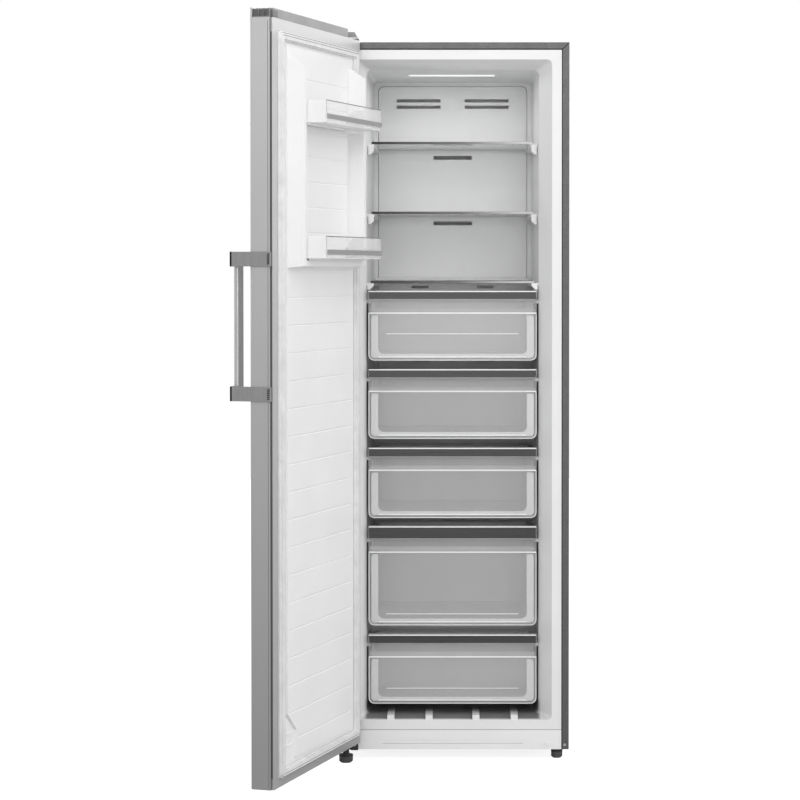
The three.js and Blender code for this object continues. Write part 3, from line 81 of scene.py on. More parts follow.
DRAWERS = range(1, 6)
SHELVES = ("top", "middle", "bottom")
BINS = ("upper", "lower")


def place(x, y, z):
    """A point of the cabinet's drawing, in metres in the frame."""
    return ORIGIN + Vector((x, y, z)) * MM


def drawn_box(node):
    """The corners of a cabinet node in the drawing's millimetres."""
    low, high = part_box(node)
    return (low - ORIGIN) / MM, (high - ORIGIN) / MM


# ---- Node materials ------------------------------------------------------------------


class Finish:
    """A node material in the making: a Principled surface and the patterns that drive it."""

    def __init__(self, name, color, roughness, metallic=0.0):
        self.material = bpy.data.materials.new(name)
        self.material.use_nodes = True
        self.nodes = self.material.node_tree.nodes
        self.links = self.material.node_tree.links
        self.surface = self.nodes["Principled BSDF"]
        self.surface.inputs["Base Color"].default_value = (*color, 1)
        self.surface.inputs["Roughness"].default_value = roughness
        self.surface.inputs["Metallic"].default_value = metallic
        self.place = self.nodes.new("ShaderNodeTexCoord").outputs["Object"]

    def noise(self, scale, stretch=(1, 1, 1), detail=3.0):
        """Noise over the object's own coordinates, drawn out along an axis by a small stretch value."""
        mapping = self.nodes.new("ShaderNodeMapping")
        mapping.inputs["Scale"].default_value = stretch
        self.links.new(self.place, mapping.inputs["Vector"])
        noise = self.nodes.new("ShaderNodeTexNoise")
        noise.inputs["Scale"].default_value = scale
        noise.inputs["Detail"].default_value = detail
        self.links.new(mapping.outputs["Vector"], noise.inputs["Vector"])
        return noise.outputs["Fac"]

    def ramp(self, value, stops, target):
        """Turns a value into the colours, or greys, of the stops and drives a socket with them."""
        ramp = self.nodes.new("ShaderNodeValToRGB")
        points = ramp.color_ramp.elements
        while len(points) < len(stops):
            points.new(0.5)
        for point, (position, color) in zip(points, stops):
            point.position = position
            grey = color if isinstance(color, tuple) else (color, color, color)
            point.color = (*grey, 1)
        self.links.new(value, ramp.inputs["Fac"])
        self.links.new(ramp.outputs["Color"], self.surface.inputs[target])
        return ramp.outputs["Color"]

    def bump(self, value, strength, depth=0.0004):
        bump = self.nodes.new("ShaderNodeBump")
        bump.inputs["Strength"].default_value = strength
        bump.inputs["Distance"].default_value = depth
        self.links.new(value, bump.inputs["Height"])
        self.links.new(bump.outputs["Normal"], self.surface.inputs["Normal"])

    def maths(self, operation, *values):
        node = self.nodes.new("ShaderNodeMath")
        node.operation = operation
        for socket, value in zip(node.inputs, values):
            if isinstance(value, (int, float)):
                socket.default_value = value
            else:
                self.links.new(value, socket)
        return node.outputs["Value"]

    def along(self, axis, low, high, clamp=True):
        """How far a point lies between two places along an axis of the object's coordinates."""
        parts = self.nodes.new("ShaderNodeSeparateXYZ")
        self.links.new(self.place, parts.inputs["Vector"])
        span = self.nodes.new("ShaderNodeMapRange")
        span.clamp = clamp
        span.inputs["From Min"].default_value = low
        span.inputs["From Max"].default_value = high
        self.links.new(parts.outputs[axis], span.inputs["Value"])
        return span.outputs["Result"]

    def across(self, axis, low, high):
        """The same between two places in the drawing's millimetres."""
        start = ORIGIN["XYZ".index(axis)]
        return self.along(axis, start + low * MM, start + high * MM)

    def see_through(self, facing, edge, blend=0.35):
        """Clear when seen straight on, and denser where the surface turns away."""
        weight = self.nodes.new("ShaderNodeLayerWeight")
        weight.inputs["Blend"].default_value = blend
        span = self.nodes.new("ShaderNodeMapRange")
        span.inputs["To Min"].default_value = facing
        span.inputs["To Max"].default_value = edge
        self.links.new(weight.outputs["Facing"], span.inputs["Value"])
        self.links.new(span.outputs["Result"], self.surface.inputs["Alpha"])


def brushed_steel(name, tone, stretch, roughness=0.34, metallic=0.75):
    """Sheet with a fine grain that runs along the axis with the smallest stretch value."""
    finish = Finish(name, (tone, tone, tone), roughness, metallic)
    grain = finish.noise(420, stretch, 4)
    finish.ramp(grain, [(0.3, tone * 0.9), (0.7, tone * 1.08)], "Base Color")
    finish.ramp(grain, [(0.25, roughness - 0.06), (0.75, roughness + 0.08)], "Roughness")
    finish.bump(grain, 0.12, 0.0001)
    return finish.material


def steel_painted_lighter_above(name, low, high, metallic):
    """Upright brushed sheet with a painted reflection: its colour is lighter towards its top."""
    finish = Finish(name, (low, low, low), 0.42, metallic)
    # painted reflection: the base colour runs from dark at the floor to light at the top
    finish.ramp(finish.across("Z", 0, 1850), [(0.05, low), (0.95, high)], "Base Color")
    grain = finish.noise(420, (1, 1, 0.02), 4)
    finish.ramp(grain, [(0.25, 0.36), (0.75, 0.5)], "Roughness")
    finish.bump(grain, 0.12, 0.0001)
    return finish.material


def speckled_paint(name, tone):
    """Grey metallic paint over a lightly textured sheet."""
    finish = Finish(name, (tone, tone, tone), 0.42, 0.45)
    speckle = finish.noise(900, detail=2)
    finish.ramp(speckle, [(0.35, tone * 0.72), (0.5, tone), (0.68, tone * 1.45)], "Base Color")
    finish.ramp(finish.noise(60), [(0.3, 0.36), (0.7, 0.5)], "Roughness")
    finish.bump(speckle, 0.35, 0.0002)
    return finish.material


def mottled(finish, darker, lighter, roughness):
    """Gives a plastic its faint mottle in colour and gloss, and returns the colour's socket."""
    color = finish.ramp(finish.noise(7, detail=4), [(0.3, darker), (0.7, lighter)], "Base Color")
    finish.ramp(finish.noise(35), [(0.3, roughness - 0.05), (0.7, roughness + 0.07)], "Roughness")
    return color


def moulded(name, tone, roughness=0.42):
    """Moulded plastic: a faint mottle and the fine orange skin of the tool's surface."""
    finish = Finish(name, (tone, tone, tone), roughness)
    mottled(finish, tone * 0.965, tone, roughness)
    finish.bump(finish.noise(1600, detail=2), 0.08, 0.0001)
    return finish.material


# The liner's floor carries painted shade under the lowest drawer. Each pair says where the painted shade
# is dim and where it is light: up the ribs, along the ribs, to each side, at the mouth, and above the
# floor.
FLOOR_PAINTED_SHADE = {
    "rib_height": (108.5, 112.5),
    "rib_length": (110, 0),
    "aside": (219.2, 227.2),
    "mouth": (15, 7),
    "above": (120, 150),
    "dimmest": 0.28,
}


def liner_painted_shade():
    """The liner's white plastic, with painted shade on the floor under the lowest drawer."""
    finish = Finish("liner_painted_shade", (0.8, 0.8, 0.8), 0.36)
    cloud = mottled(finish, 0.77, 0.8, 0.36)
    finish.bump(finish.noise(1600, detail=2), 0.08, 0.0001)
    light = finish.maths(
        "MULTIPLY", finish.across("Z", *FLOOR_PAINTED_SHADE["rib_height"]), finish.across("Y", *FLOOR_PAINTED_SHADE["rib_length"])
    )
    metres_aside = finish.maths("ABSOLUTE", finish.along("X", ORIGIN.x, ORIGIN.x + 1, False))
    start, end = (reach * MM for reach in FLOOR_PAINTED_SHADE["aside"])
    beside = finish.maths("MULTIPLY_ADD", metres_aside, 1 / (end - start), -start / (end - start))
    near = finish.across("Y", *FLOOR_PAINTED_SHADE["mouth"])
    high = finish.across("Z", *FLOOR_PAINTED_SHADE["above"])
    for other in (beside, near, high):
        light = finish.maths("MAXIMUM", light, other)
    dim = finish.nodes.new("ShaderNodeMapRange")
    dim.inputs["To Min"].default_value = FLOOR_PAINTED_SHADE["dimmest"]
    finish.links.new(light, dim.inputs["Value"])
    # the painted shade scales down the liner's colour
    shade = finish.nodes.new("ShaderNodeVectorMath")
    shade.operation = "SCALE"
    finish.links.new(cloud, shade.inputs[0])
    finish.links.new(dim.outputs["Result"], shade.inputs["Scale"])
    finish.links.new(shade.outputs["Vector"], finish.surface.inputs["Base Color"])
    return finish.material


def clear_moulding(name, tone, facing, edge, roughness=0.14):
    """Clear plastic with a slight flow pattern in its gloss."""
    finish = Finish(name, (tone, tone, tone), roughness)
    flow = finish.noise(18, (1, 1, 0.3), 3)
    finish.ramp(flow, [(0.3, tone * 0.95), (0.7, tone)], "Base Color")
    finish.ramp(flow, [(0.3, roughness - 0.04), (0.7, roughness + 0.06)], "Roughness")
    finish.see_through(facing, edge)
    finish.bump(finish.noise(40), 0.05, 0.0005)
    return finish.material


BIN_END = (-163, -158)  # Y over which an open door's bin turns clear


def bin_moulding():
    """A bin's white plastic, clear where its end stands next to the hinges."""
    finish = Finish("bin_moulding", (0.84, 0.84, 0.84), 0.42)
    mottled(finish, 0.81, 0.84, 0.42)
    finish.ramp(finish.across("Y", *BIN_END), [(0, 1.0), (1, 0.25)], "Alpha")
    return finish.material


def shelf_glass():
    finish = Finish("shelf_glass", (0.82, 0.85, 0.84), 0.04)
    finish.ramp(finish.noise(4), [(0.3, (0.8, 0.83, 0.82)), (0.7, (0.85, 0.88, 0.87))], "Base Color")
    finish.see_through(0.12, 0.75, 0.25)
    return finish.material


def rail_painted_reflection():
    """A polished rail with a painted reflection: its colour is dark on the left, for the door, and light
    on the right, for the room.
    """
    finish = Finish("rail_painted_reflection", (0.1, 0.1, 0.1), 0.25, 0.7)
    # painted reflection: base colour from dark on the left to light on the right
    finish.ramp(finish.across("X", -200, 200), [(0.1, 0.03), (0.55, 0.09), (0.95, 0.3)], "Base Color")
    finish.ramp(finish.noise(420, (0.02, 1, 1)), [(0.3, 0.2), (0.7, 0.32)], "Roughness")
    return finish.material


def rigid_foam():
    finish = Finish("rigid_foam", (0.72, 0.62, 0.38), 0.9)
    cells = finish.noise(260, detail=5)
    finish.ramp(cells, [(0.3, (0.62, 0.52, 0.3)), (0.7, (0.78, 0.69, 0.45))], "Base Color")
    finish.bump(cells, 0.6, 0.001)
    return finish.material


def soft_seal():
    finish = Finish("soft_seal", (0.72, 0.72, 0.71), 0.6)
    finish.ramp(finish.noise(30), [(0.3, 0.66), (0.7, 0.76)], "Base Color")
    finish.bump(finish.noise(700), 0.15, 0.0002)
    return finish.material


def zinc_plate():
    finish = Finish("zinc_plate", (0.5, 0.5, 0.51), 0.4, 0.85)
    spangle = finish.nodes.new("ShaderNodeTexVoronoi")
    spangle.inputs["Scale"].default_value = 90
    finish.links.new(finish.place, spangle.inputs["Vector"])
    finish.ramp(spangle.outputs["Distance"], [(0.1, 0.56), (0.6, 0.44)], "Base Color")
    finish.ramp(finish.noise(50), [(0.3, 0.32), (0.7, 0.5)], "Roughness")
    return finish.material


def bare_aluminium():
    finish = Finish("bare_aluminium", (0.75, 0.76, 0.77), 0.36, 0.95)
    finish.ramp(finish.noise(300, (1, 1, 0.1)), [(0.3, 0.68), (0.7, 0.8)], "Base Color")
    return finish.material


def lamp_lens():
    """The diffuser over the LEDs, brightest along its middle."""
    finish = Finish("lamp_lens", (0.85, 0.85, 0.85), 0.35)
    low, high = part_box("led_lamp")
    depth = finish.along("Y", low.y, high.y)
    finish.ramp(depth, [(0.08, 0.1), (0.18, 1.0), (0.82, 1.0), (0.92, 0.1)], "Emission Color")
    finish.ramp(finish.noise(60), [(0.3, 0.3), (0.7, 0.42)], "Roughness")
    finish.surface.inputs["Emission Strength"].default_value = 1
    return finish.material


def black_paint():
    finish = Finish("black_paint", (0.02, 0.02, 0.022), 0.45)
    finish.ramp(finish.noise(40), [(0.3, 0.016), (0.7, 0.03)], "Base Color")
    finish.bump(finish.noise(500), 0.2, 0.0002)
    return finish.material


def shadow_line():
    """The dull black of a seam or a deep joint that no light reaches."""
    finish = Finish("shadow_line", (0.012, 0.012, 0.012), 0.9)
    finish.ramp(finish.noise(30), [(0.3, 0.009), (0.7, 0.016)], "Base Color")
    finish.surface.inputs["Specular IOR Level"].default_value = 0
    return finish.material


# The door's skin and frame both carry the painted reflection, lighter towards the top.
DOOR_STEEL = steel_painted_lighter_above("door_steel", 0.36, 0.62, 0.6)
FRAME_STEEL = steel_painted_lighter_above("door_frame_steel", 0.4, 0.58, 0.35)
CABINET_PAINT = speckled_paint("cabinet_paint", 0.1)
WHITE = moulded("white_moulding", 0.84)
LINER_WHITE = moulded("liner_white", 0.84, 0.36)
TUB_WHITE = moulded("tub_white", 0.62, 0.4)
# Bright white: the real colour of a drawer's white border, and painted highlights on the drawers' clear
# fronts and lips.
WHITE_AND_PAINTED_HIGHLIGHT = moulded("white_and_painted_highlight", 0.92, 0.3)
GREY = moulded("grey_moulding", 0.26, 0.45)
DARK_GREY = moulded("dark_grey_moulding", 0.1, 0.4)
SHADOW_GREY = moulded("shadow_grey", 0.3, 0.6)
BLACK = moulded("black_moulding", 0.028, 0.5)
DRAWER_CLEAR = clear_moulding("drawer_clear", 0.84, 0.26, 0.8)
BIN_CLEAR = clear_moulding("bin_clear", 0.88, 0.12, 0.4)
EDGE_LINE = clear_moulding("clear_edge", 0.22, 0.7, 0.85)
GLASS = shelf_glass()
FOAM = rigid_foam()
SEAL = soft_seal()
ZINC = zinc_plate()
ALUMINIUM = bare_aluminium()
HANDLE_METAL = brushed_steel("handle_metal", 0.65, (1, 1, 0.03), 0.3)
BRACKET_METAL = brushed_steel("bracket_metal", 0.36, (1, 1, 0.05), 0.4)
STRIP_METAL = brushed_steel("strip_metal", 0.055, (0.02, 1, 1), 0.32, 0.6)
BIN_WHITE = bin_moulding()
BIN_STRIP = moulded("bin_strip_grey", 0.3, 0.35)
RAIL_PAINTED_REFLECTION = rail_painted_reflection()
LENS = lamp_lens()
BLACK_PAINT = black_paint()
SHADOW_LINE = shadow_line()

# ---- Modelling -----------------------------------------------------------------------


def only(piece):
    """Makes one piece the only selected and active one."""
    bpy.ops.object.select_all(action="DESELECT")
    piece.select_set(True)
    bpy.context.view_layer.objects.active = piece


def edit(piece, mode="FACE"):
    only(piece)
    bpy.ops.object.mode_set(mode="EDIT")
    bpy.ops.mesh.select_mode(type=mode)


def leave():
    bpy.ops.object.mode_set(mode="OBJECT")


def pick(piece, wanted):
    """In edit mode, selects the faces that a test on centre and normal accepts."""
    bpy.ops.mesh.select_all(action="DESELECT")
    leave()
    for face in piece.data.polygons:
        face.select = wanted(face.center, face.normal)
    bpy.ops.object.mode_set(mode="EDIT")


def settle(piece):
    """Puts a piece's place into its mesh."""
    only(piece)
    bpy.ops.object.transform_apply(location=True, rotation=True, scale=True)


def smooth(piece, angle=35):
    """Shades a piece smooth up to an angle, with its large faces kept flat."""
    only(piece)
    bpy.ops.object.shade_smooth_by_angle(angle=math.radians(angle))
    weighted = piece.modifiers.new("flat_faces", "WEIGHTED_NORMAL")
    weighted.keep_sharp = True
    weighted.weight = 100
    bpy.ops.object.modifier_apply(modifier=weighted.name)


def dress(piece, material, body, slot, *nodes):
    """Gives a finished piece its material, its body and the nodes that it stands for. The slot is not
    used.
    """
    piece.data.materials.clear()
    piece.data.materials.append(material)
    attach(piece, body)
    if nodes:
        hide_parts(*nodes)


def rounded(piece, width, segments=2, angle=30):
    """Rounds a piece's sharp edges with a bevel that is applied."""
    only(piece)
    bevel = piece.modifiers.new("rounding", "BEVEL")
    bevel.width = width * MM
    bevel.segments = segments
    bevel.limit_method = "ANGLE"
    bevel.angle_limit = math.radians(angle)
    bevel.use_clamp_overlap = True
    bevel.miter_outer = "MITER_ARC"
    bpy.ops.object.modifier_apply(modifier=bevel.name)
    smooth(piece)


def bar(name, x, y, z, edge=0.0, segments=3):
    """A cube at its size and place, with its edges rounded in edit mode."""
    low = place(min(x), min(y), min(z))
    high = place(max(x), max(y), max(z))
    bpy.ops.object.select_all(action="DESELECT")
    bpy.ops.mesh.primitive_cube_add(size=1, location=(low + high) / 2)
    piece = bpy.context.object
    piece.name = piece.data.name = name
    piece.scale = high - low
    settle(piece)
    if edge:
        edit(piece, "EDGE")
        bpy.ops.mesh.select_all(action="SELECT")
        bpy.ops.mesh.bevel(offset=edge * MM, segments=segments, affect="EDGES")
        leave()
    smooth(piece)
    return piece


def copied(piece, name, shift):
    """A copy with its own mesh, moved by a distance in the drawing's millimetres."""
    twin = piece.copy()
    twin.data = piece.data.copy()
    twin.name = twin.data.name = name
    bpy.context.collection.objects.link(twin)
    twin.data.transform(Matrix.Translation(Vector(shift) * MM))
    return twin


def mirrored(piece, name):
    """The same piece on the other side of the cabinet's middle, with its own mesh."""
    twin = copied(piece, name, (0, 0, 0))
    middle = Matrix.Translation(ORIGIN)
    twin.data.transform(middle @ Matrix.Scale(-1, 4, (1, 0, 0)) @ middle.inverted())
    edit(twin)
    bpy.ops.mesh.select_all(action="SELECT")
    bpy.ops.mesh.flip_normals()
    leave()
    return twin


def bevelled(piece, wanted, width, segments):
    """Bevels the edges that a test on their two ends accepts."""
    edit(piece, "EDGE")
    bpy.ops.mesh.select_all(action="DESELECT")
    leave()
    for side in piece.data.edges:
        side.select = wanted(*(piece.data.vertices[index].co for index in side.vertices))
    bpy.ops.object.mode_set(mode="EDIT")
    bpy.ops.mesh.bevel(offset=width * MM, segments=segments, affect="EDGES")
    leave()
    return piece


def cornered(piece, radius):
    """Rounds the four edges of a plate that run from front to back."""
    return bevelled(piece, lambda start, end: abs((end - start).normalized().y) > FACING, radius, 6)


def opened(piece, tool):
    """Cuts a tool's form out of a piece and tidies the faces that are left."""
    only(piece)
    cut = piece.modifiers.new("opening", "BOOLEAN")
    cut.object = tool
    cut.operation = "DIFFERENCE"
    cut.solver = "EXACT"
    bpy.ops.object.modifier_apply(modifier=cut.name)
    bpy.data.objects.remove(tool)
    tidied(piece)
    return piece


def tidied(piece):
    """Merges flat facets and parts them again into even ones, so that a bevel keeps them whole."""
    edit(piece, "VERT")
    bpy.ops.mesh.select_all(action="SELECT")
    bpy.ops.mesh.remove_doubles(threshold=0.00001)
    flat = math.radians(1)
    bpy.ops.mesh.dissolve_limited(angle_limit=flat)
    bpy.ops.mesh.select_all(action="SELECT")
    bpy.ops.mesh.quads_convert_to_tris(quad_method="BEAUTY", ngon_method="BEAUTY")
    bpy.ops.mesh.tris_convert_to_quads(face_threshold=flat, shape_threshold=math.radians(60))
    leave()


def round_row(piece, x, y, count):
    """Repeats a piece's form round an upright axis."""
    edit(piece)
    bpy.ops.mesh.select_all(action="SELECT")
    bpy.ops.mesh.spin(
        steps=count - 1, angle=2 * math.pi * (count - 1) / count, center=place(x, y, 0), axis=(0, 0, 1),
        dupli=True,
    )
    leave()


# Shares of a screw head's radius, and for its socket's depth of the head's height.
SCREW_HEAD = {"height": 0.45, "rim": 0.5, "edge": 0.12, "sunk": 0.6}


def screw(name, x, y, z, radius, facing=-1):
    """A flat-headed screw with a sunk socket, its head's underside at the given depth."""
    height = radius * SCREW_HEAD["height"]
    bpy.ops.object.select_all(action="DESELECT")
    bpy.ops.mesh.primitive_cylinder_add(
        vertices=24, radius=radius * MM, depth=height * MM, rotation=(math.pi / 2, 0, 0),
        location=place(x, y + facing * (SEAT + height / 2), z),
    )
    head = bpy.context.object
    head.name = head.data.name = name
    settle(head)
    edit(head)
    pick(head, lambda centre, normal: normal.y * facing > FACING)
    bpy.ops.mesh.inset(thickness=radius * SCREW_HEAD["rim"] * MM)
    sink = (0, -facing * height * SCREW_HEAD["sunk"] * MM, 0)
    bpy.ops.mesh.extrude_region_move(TRANSFORM_OT_translate={"value": sink})
    leave()
    rounded(head, radius * SCREW_HEAD["edge"])
    return head


def joined(name, pieces):
    bpy.ops.object.select_all(action="DESELECT")
    for piece in pieces:
        piece.select_set(True)
    bpy.context.view_layer.objects.active = pieces[0]
    bpy.ops.object.join()
    whole = bpy.context.object
    whole.name = whole.data.name = name
    return whole


def swung(piece):
    """Turns a piece that is drawn on the closed door to the open door."""
    turn = Matrix.Rotation(DOOR_ANGLE, 4, "Z")
    piece.matrix_world = Matrix.Translation(HINGE_AXIS) @ turn @ Matrix.Translation(-HINGE_AXIS)
    settle(piece)
    return piece


def finished_copy(node, width, segments, angle):
    """A copy of a node's mesh with its facets merged into tidy faces and its edges rounded."""
    piece = bpy.data.objects.new(node + "_finished", frame["nodes"][node].data.copy())
    bpy.context.collection.objects.link(piece)
    tidied(piece)
    edit(piece)
    bpy.ops.mesh.customdata_custom_splitnormals_clear()
    leave()
    rounded(piece, width, segments, angle)
    return piece


# ---- Pieces that keep the node's form, with rounded edges ----------------------------


def body_of(node):
    bodies = frame["record"]["behaviour"]["bodies"]
    return next(body for body, nodes in bodies.items() if node in nodes)


def refine(node, material, slot, width, segments=2, angle=30):
    """Stands a finished copy, its edges rounded by a width, in for a node."""
    piece = finished_copy(node, width, segments, angle)
    dress(piece, material, body_of(node), slot, node)


def refined_shell():
    """The cabinet with its liner, lamp, hinges, feet and rollers."""
    for side in ("left", "right"):
        refine(f"side_panel_{side}", CABINET_PAINT, "cabinet_steel", 0.8)
    refine("top_panel", CABINET_PAINT, "cabinet_steel", 0.8)
    refine("kick_panel", LINER_WHITE, "white_plastic", 1.2)
    refine("inner_liner", liner_painted_shade(), "white_plastic", 2.5, 3, 25)
    refine("evaporator_cover", LINER_WHITE, "white_plastic", 0.9)
    refine("led_lamp", LENS, "lamp_lens", 1)
    refine("rear_panel", ZINC, "zinc_steel", 0.8)
    refine("compressor_cover", ZINC, "zinc_steel", 0.4, 1)
    refine("top_hinge_bracket", ZINC, "zinc_steel", 0.8)
    refine("top_hinge_cover", GREY, "grey_plastic", 2, 3)
    refine("bottom_hinge_bracket", BLACK_PAINT, "compressor_paint", 0.6)
    for side in ("left", "right"):
        refine(f"levelling_foot_{side}", DARK_GREY, "black_plastic", 0.8)
        refine(f"rear_roller_{side}", BLACK, "black_plastic", 1)


def refined_door():
    refine("door_skin", DOOR_STEEL, "door_steel", 0.4, 1, 40)
    refine("door_frame", FRAME_STEEL, "door_steel", 0.6)
    refine("door_top_cap", GREY, "grey_plastic", 1)
    refine("door_bottom_cap", GREY, "grey_plastic", 0.8)
    refine("door_liner", WHITE, "white_plastic", 1.2, 3, 25)
    refine("door_gasket", SEAL, "seal", 2, 3)
    refine("handle_bar", HANDLE_METAL, "handle_metal", 1, 3)
    for end in ("lower", "upper"):
        refine(f"handle_bracket_{end}", BRACKET_METAL, "handle_metal", 0.8)


def refined_contents():
    for shelf in SHELVES:
        refine(f"shelf_{shelf}_glass", GLASS, "shelf_glass", 0.8)
        refine(f"shelf_{shelf}_trim", WHITE, "white_plastic", 0.8)
    for number in DRAWERS:
        refine(f"drawer_{number}_tub", TUB_WHITE, "white_plastic", 1)
        refine(f"drawer_{number}_front", DRAWER_CLEAR, "clear_plastic", 0.9)
    for name in BINS:
        refine(f"bin_{name}_tray", BIN_WHITE, "white_plastic", 1.2, 3)
        refine(f"bin_{name}_front", BIN_CLEAR, "clear_plastic", 0.6)


def inner_materials():
    """The pieces inside and underneath keep their nodes and get their materials."""
    finishes = {
        ZINC: ["base_plate", "upper_hinge_pin", "lower_hinge_pin"],
        FOAM: [
            "foam_side_left", "foam_side_right", "foam_top", "foam_floor", "foam_rear", "door_foam",
        ],
        ALUMINIUM: ["evaporator_coil"],
        BLACK: ["fan_motor", "drip_tray"],
        WHITE: ["fan_blade"],
        BLACK_PAINT: ["compressor"],
        GREY: ["control_box"],
    }
    for material, nodes in finishes.items():
        for node in nodes:
            data = frame["nodes"][node].data
            data.materials.clear()
            data.materials.append(material)


# ---- Drawers -------------------------------------------------------------------------

FRONT_FACE = 44  # Y of a drawer's clear front, shut
FRONT_WALL = 3
GRIP = 34  # height of the finger groove, from the tub's brim down to the ridge
STRIP = {"inset": 1.5, "proud": 1.2, "above": 0.5}
LIP = {"inset": 0.6, "height": 3.2, "gap": 0.2}
RIDGE = {"inset": 0.4, "proud": 1.6, "height": 4}
# Where the painted highlight round a drawer's clear front lies.
EDGE_HIGHLIGHT = {"inset": 0.2, "proud": 0.9, "width": 2.2, "corner": 14.8, "past": 40}
BORDER = {"edge": 7, "width": 18, "corner": 9, "inner_corner": 15, "thickness": 1.4, "below": 8}
# The bright lines on the drawers' clear fronts are painted highlights.
LINE = {"half": 170, "height": 1.8, "proud": 0.5, "above": {1: 68, 4: 29, 5: 39}}
FOOT_HIGHLIGHT = {"above": 8, "height": 2.6, "inset": 26}


def on_front(proud):
    """The depth taken up by a piece that is laid on a drawer's clear front."""
    return FRONT_FACE - proud, FRONT_FACE - SEAT


def drawer_strip(name, low, high, foot):
    """The brushed strip across a drawer's top and the clear lip that is left above it, the lip drawn in
    bright white as a painted highlight.
    """
    depth = (low.y - STRIP["proud"], low.y - SEAT)
    brow = high.z - LIP["height"]
    inset = STRIP["inset"]
    strip = bar(
        f"{name}_strip", (low.x + inset, high.x - inset), depth, (foot + STRIP["above"], brow), edge=0.4,
    )
    dress(strip, STRIP_METAL, name, "handle_metal")
    inset = LIP["inset"]
    lip = bar(
        f"{name}_lip", (low.x + inset, high.x - inset), depth, (brow + LIP["gap"], high.z - LIP["gap"]),
        edge=0.5,
    )
    # painted highlight: the clear lip in bright white
    dress(lip, WHITE_AND_PAINTED_HIGHLIGHT, name, "clear_plastic")


def drawer_highlights(name, low, high, ridge):
    """The ridge under the finger groove and the band down and round the clear front, both drawn in bright
    white as painted highlights.
    """
    brim = ridge - RIDGE["height"]
    inset = RIDGE["inset"]
    bead = bar(
        f"{name}_ridge", (low.x + inset, high.x - inset), on_front(RIDGE["proud"]), (brim, ridge - inset),
        edge=0.7,
    )
    dress(bead, WHITE_AND_PAINTED_HIGHLIGHT, name, "clear_plastic")
    inset = EDGE_HIGHLIGHT["inset"]
    outer = cornered(
        bar(
            f"{name}_edge", (low.x + inset, high.x - inset), on_front(EDGE_HIGHLIGHT["proud"]),
            (low.z + inset, brim + EDGE_HIGHLIGHT["past"]),
        ), EDGE_HIGHLIGHT["corner"],
    )
    inset = EDGE_HIGHLIGHT["width"]
    through = (FRONT_FACE - CUT_PAST, FRONT_FACE + CUT_PAST)
    top = brim + 2 * EDGE_HIGHLIGHT["past"]
    middle = cornered(
        bar("opening", (low.x + inset, high.x - inset), through, (low.z + inset, top)),
        EDGE_HIGHLIGHT["corner"] - inset,
    )
    above = bar("above", (low.x - CUT_PAST, high.x + CUT_PAST), through, (brim, top))
    rounded(opened(opened(outer, middle), above), width=0.35)
    dress(outer, WHITE_AND_PAINTED_HIGHLIGHT, name, "clear_plastic")


def drawer_border(name, low, high, ridge):
    """The white border behind a drawer's clear front."""
    back = FRONT_FACE + FRONT_WALL + SEAT
    inset = BORDER["edge"]
    border = cornered(
        bar(
            f"{name}_border", (low.x + inset, high.x - inset), (back, back + BORDER["thickness"]),
            (low.z + inset, ridge - BORDER["below"]),
        ), BORDER["corner"],
    )
    inset += BORDER["width"]
    middle = cornered(
        bar(
            "opening", (low.x + inset, high.x - inset), (back - CUT_PAST, back + CUT_PAST),
            (low.z + inset - BORDER["below"], ridge + BORDER["below"]),
        ), BORDER["inner_corner"],
    )
    rounded(opened(border, middle), width=0.4)
    dress(border, WHITE_AND_PAINTED_HIGHLIGHT, name, "white_plastic")


def drawer_highlight_lines(number, name, low, high):
    """The painted highlights on a drawer's clear front: the bright line over its foot and, on some, the
    one across its front.
    """
    depth = on_front(LINE["proud"])
    reach = high.x - FOOT_HIGHLIGHT["inset"]
    spans = [(reach, low.z + FOOT_HIGHLIGHT["above"], FOOT_HIGHLIGHT["height"])]
    if number in LINE["above"]:
        spans.append((LINE["half"], low.z + LINE["above"][number], LINE["height"]))
    lines = [
        bar("line", (-half, half), depth, (level, level + height), edge=0.2, segments=2)
        for half, level, height in spans
    ]
    dress(joined(f"{name}_lines", lines), WHITE_AND_PAINTED_HIGHLIGHT, name, "clear_plastic")


def drawer_details(number):
    """What a drawer's front carries on its two faces."""
    name = f"drawer_{number}"
    low, high = drawn_box(f"{name}_front")
    foot = drawn_box(f"{name}_tub")[1].z
    ridge = foot - GRIP
    drawer_strip(name, low, high, foot)
    drawer_highlights(name, low, high, ridge)
    drawer_border(name, low, high, ridge)
    drawer_highlight_lines(number, name, low, high)


# ---- Shelves -------------------------------------------------------------------------

RAIL = {"inset": 1, "depth": 9, "cover": 1.1, "lip": 0.1}
SUPPORT = {
    "x": (204, 219.5), "before": 2, "depth": 26, "gap": 0.4, "slope": 9,
    "heights": {"top": 27, "middle": 27, "bottom": 17},
}


def shelf_rail(name):
    """The metal rail on the front edge of a shelf: a bar hollowed from behind to hold the glass."""
    low, high = drawn_box(f"shelf_{name}_glass")
    cover = RAIL["cover"]
    rail = bar(
        f"shelf_{name}_rail", (low.x + RAIL["inset"], high.x - RAIL["inset"]),
        (low.y - cover, low.y + RAIL["depth"]), (low.z - cover, high.z + cover),
    )
    edit(rail)
    pick(rail, lambda centre, normal: normal.y > FACING)
    bpy.ops.mesh.inset(thickness=(cover - RAIL["lip"]) * MM)
    bpy.ops.mesh.extrude_region_move(TRANSFORM_OT_translate={"value": (0, -RAIL["depth"] * MM, 0)})
    leave()
    rounded(rail, width=0.35)
    dress(rail, RAIL_PAINTED_REFLECTION, f"shelf_{name}", "handle_metal")


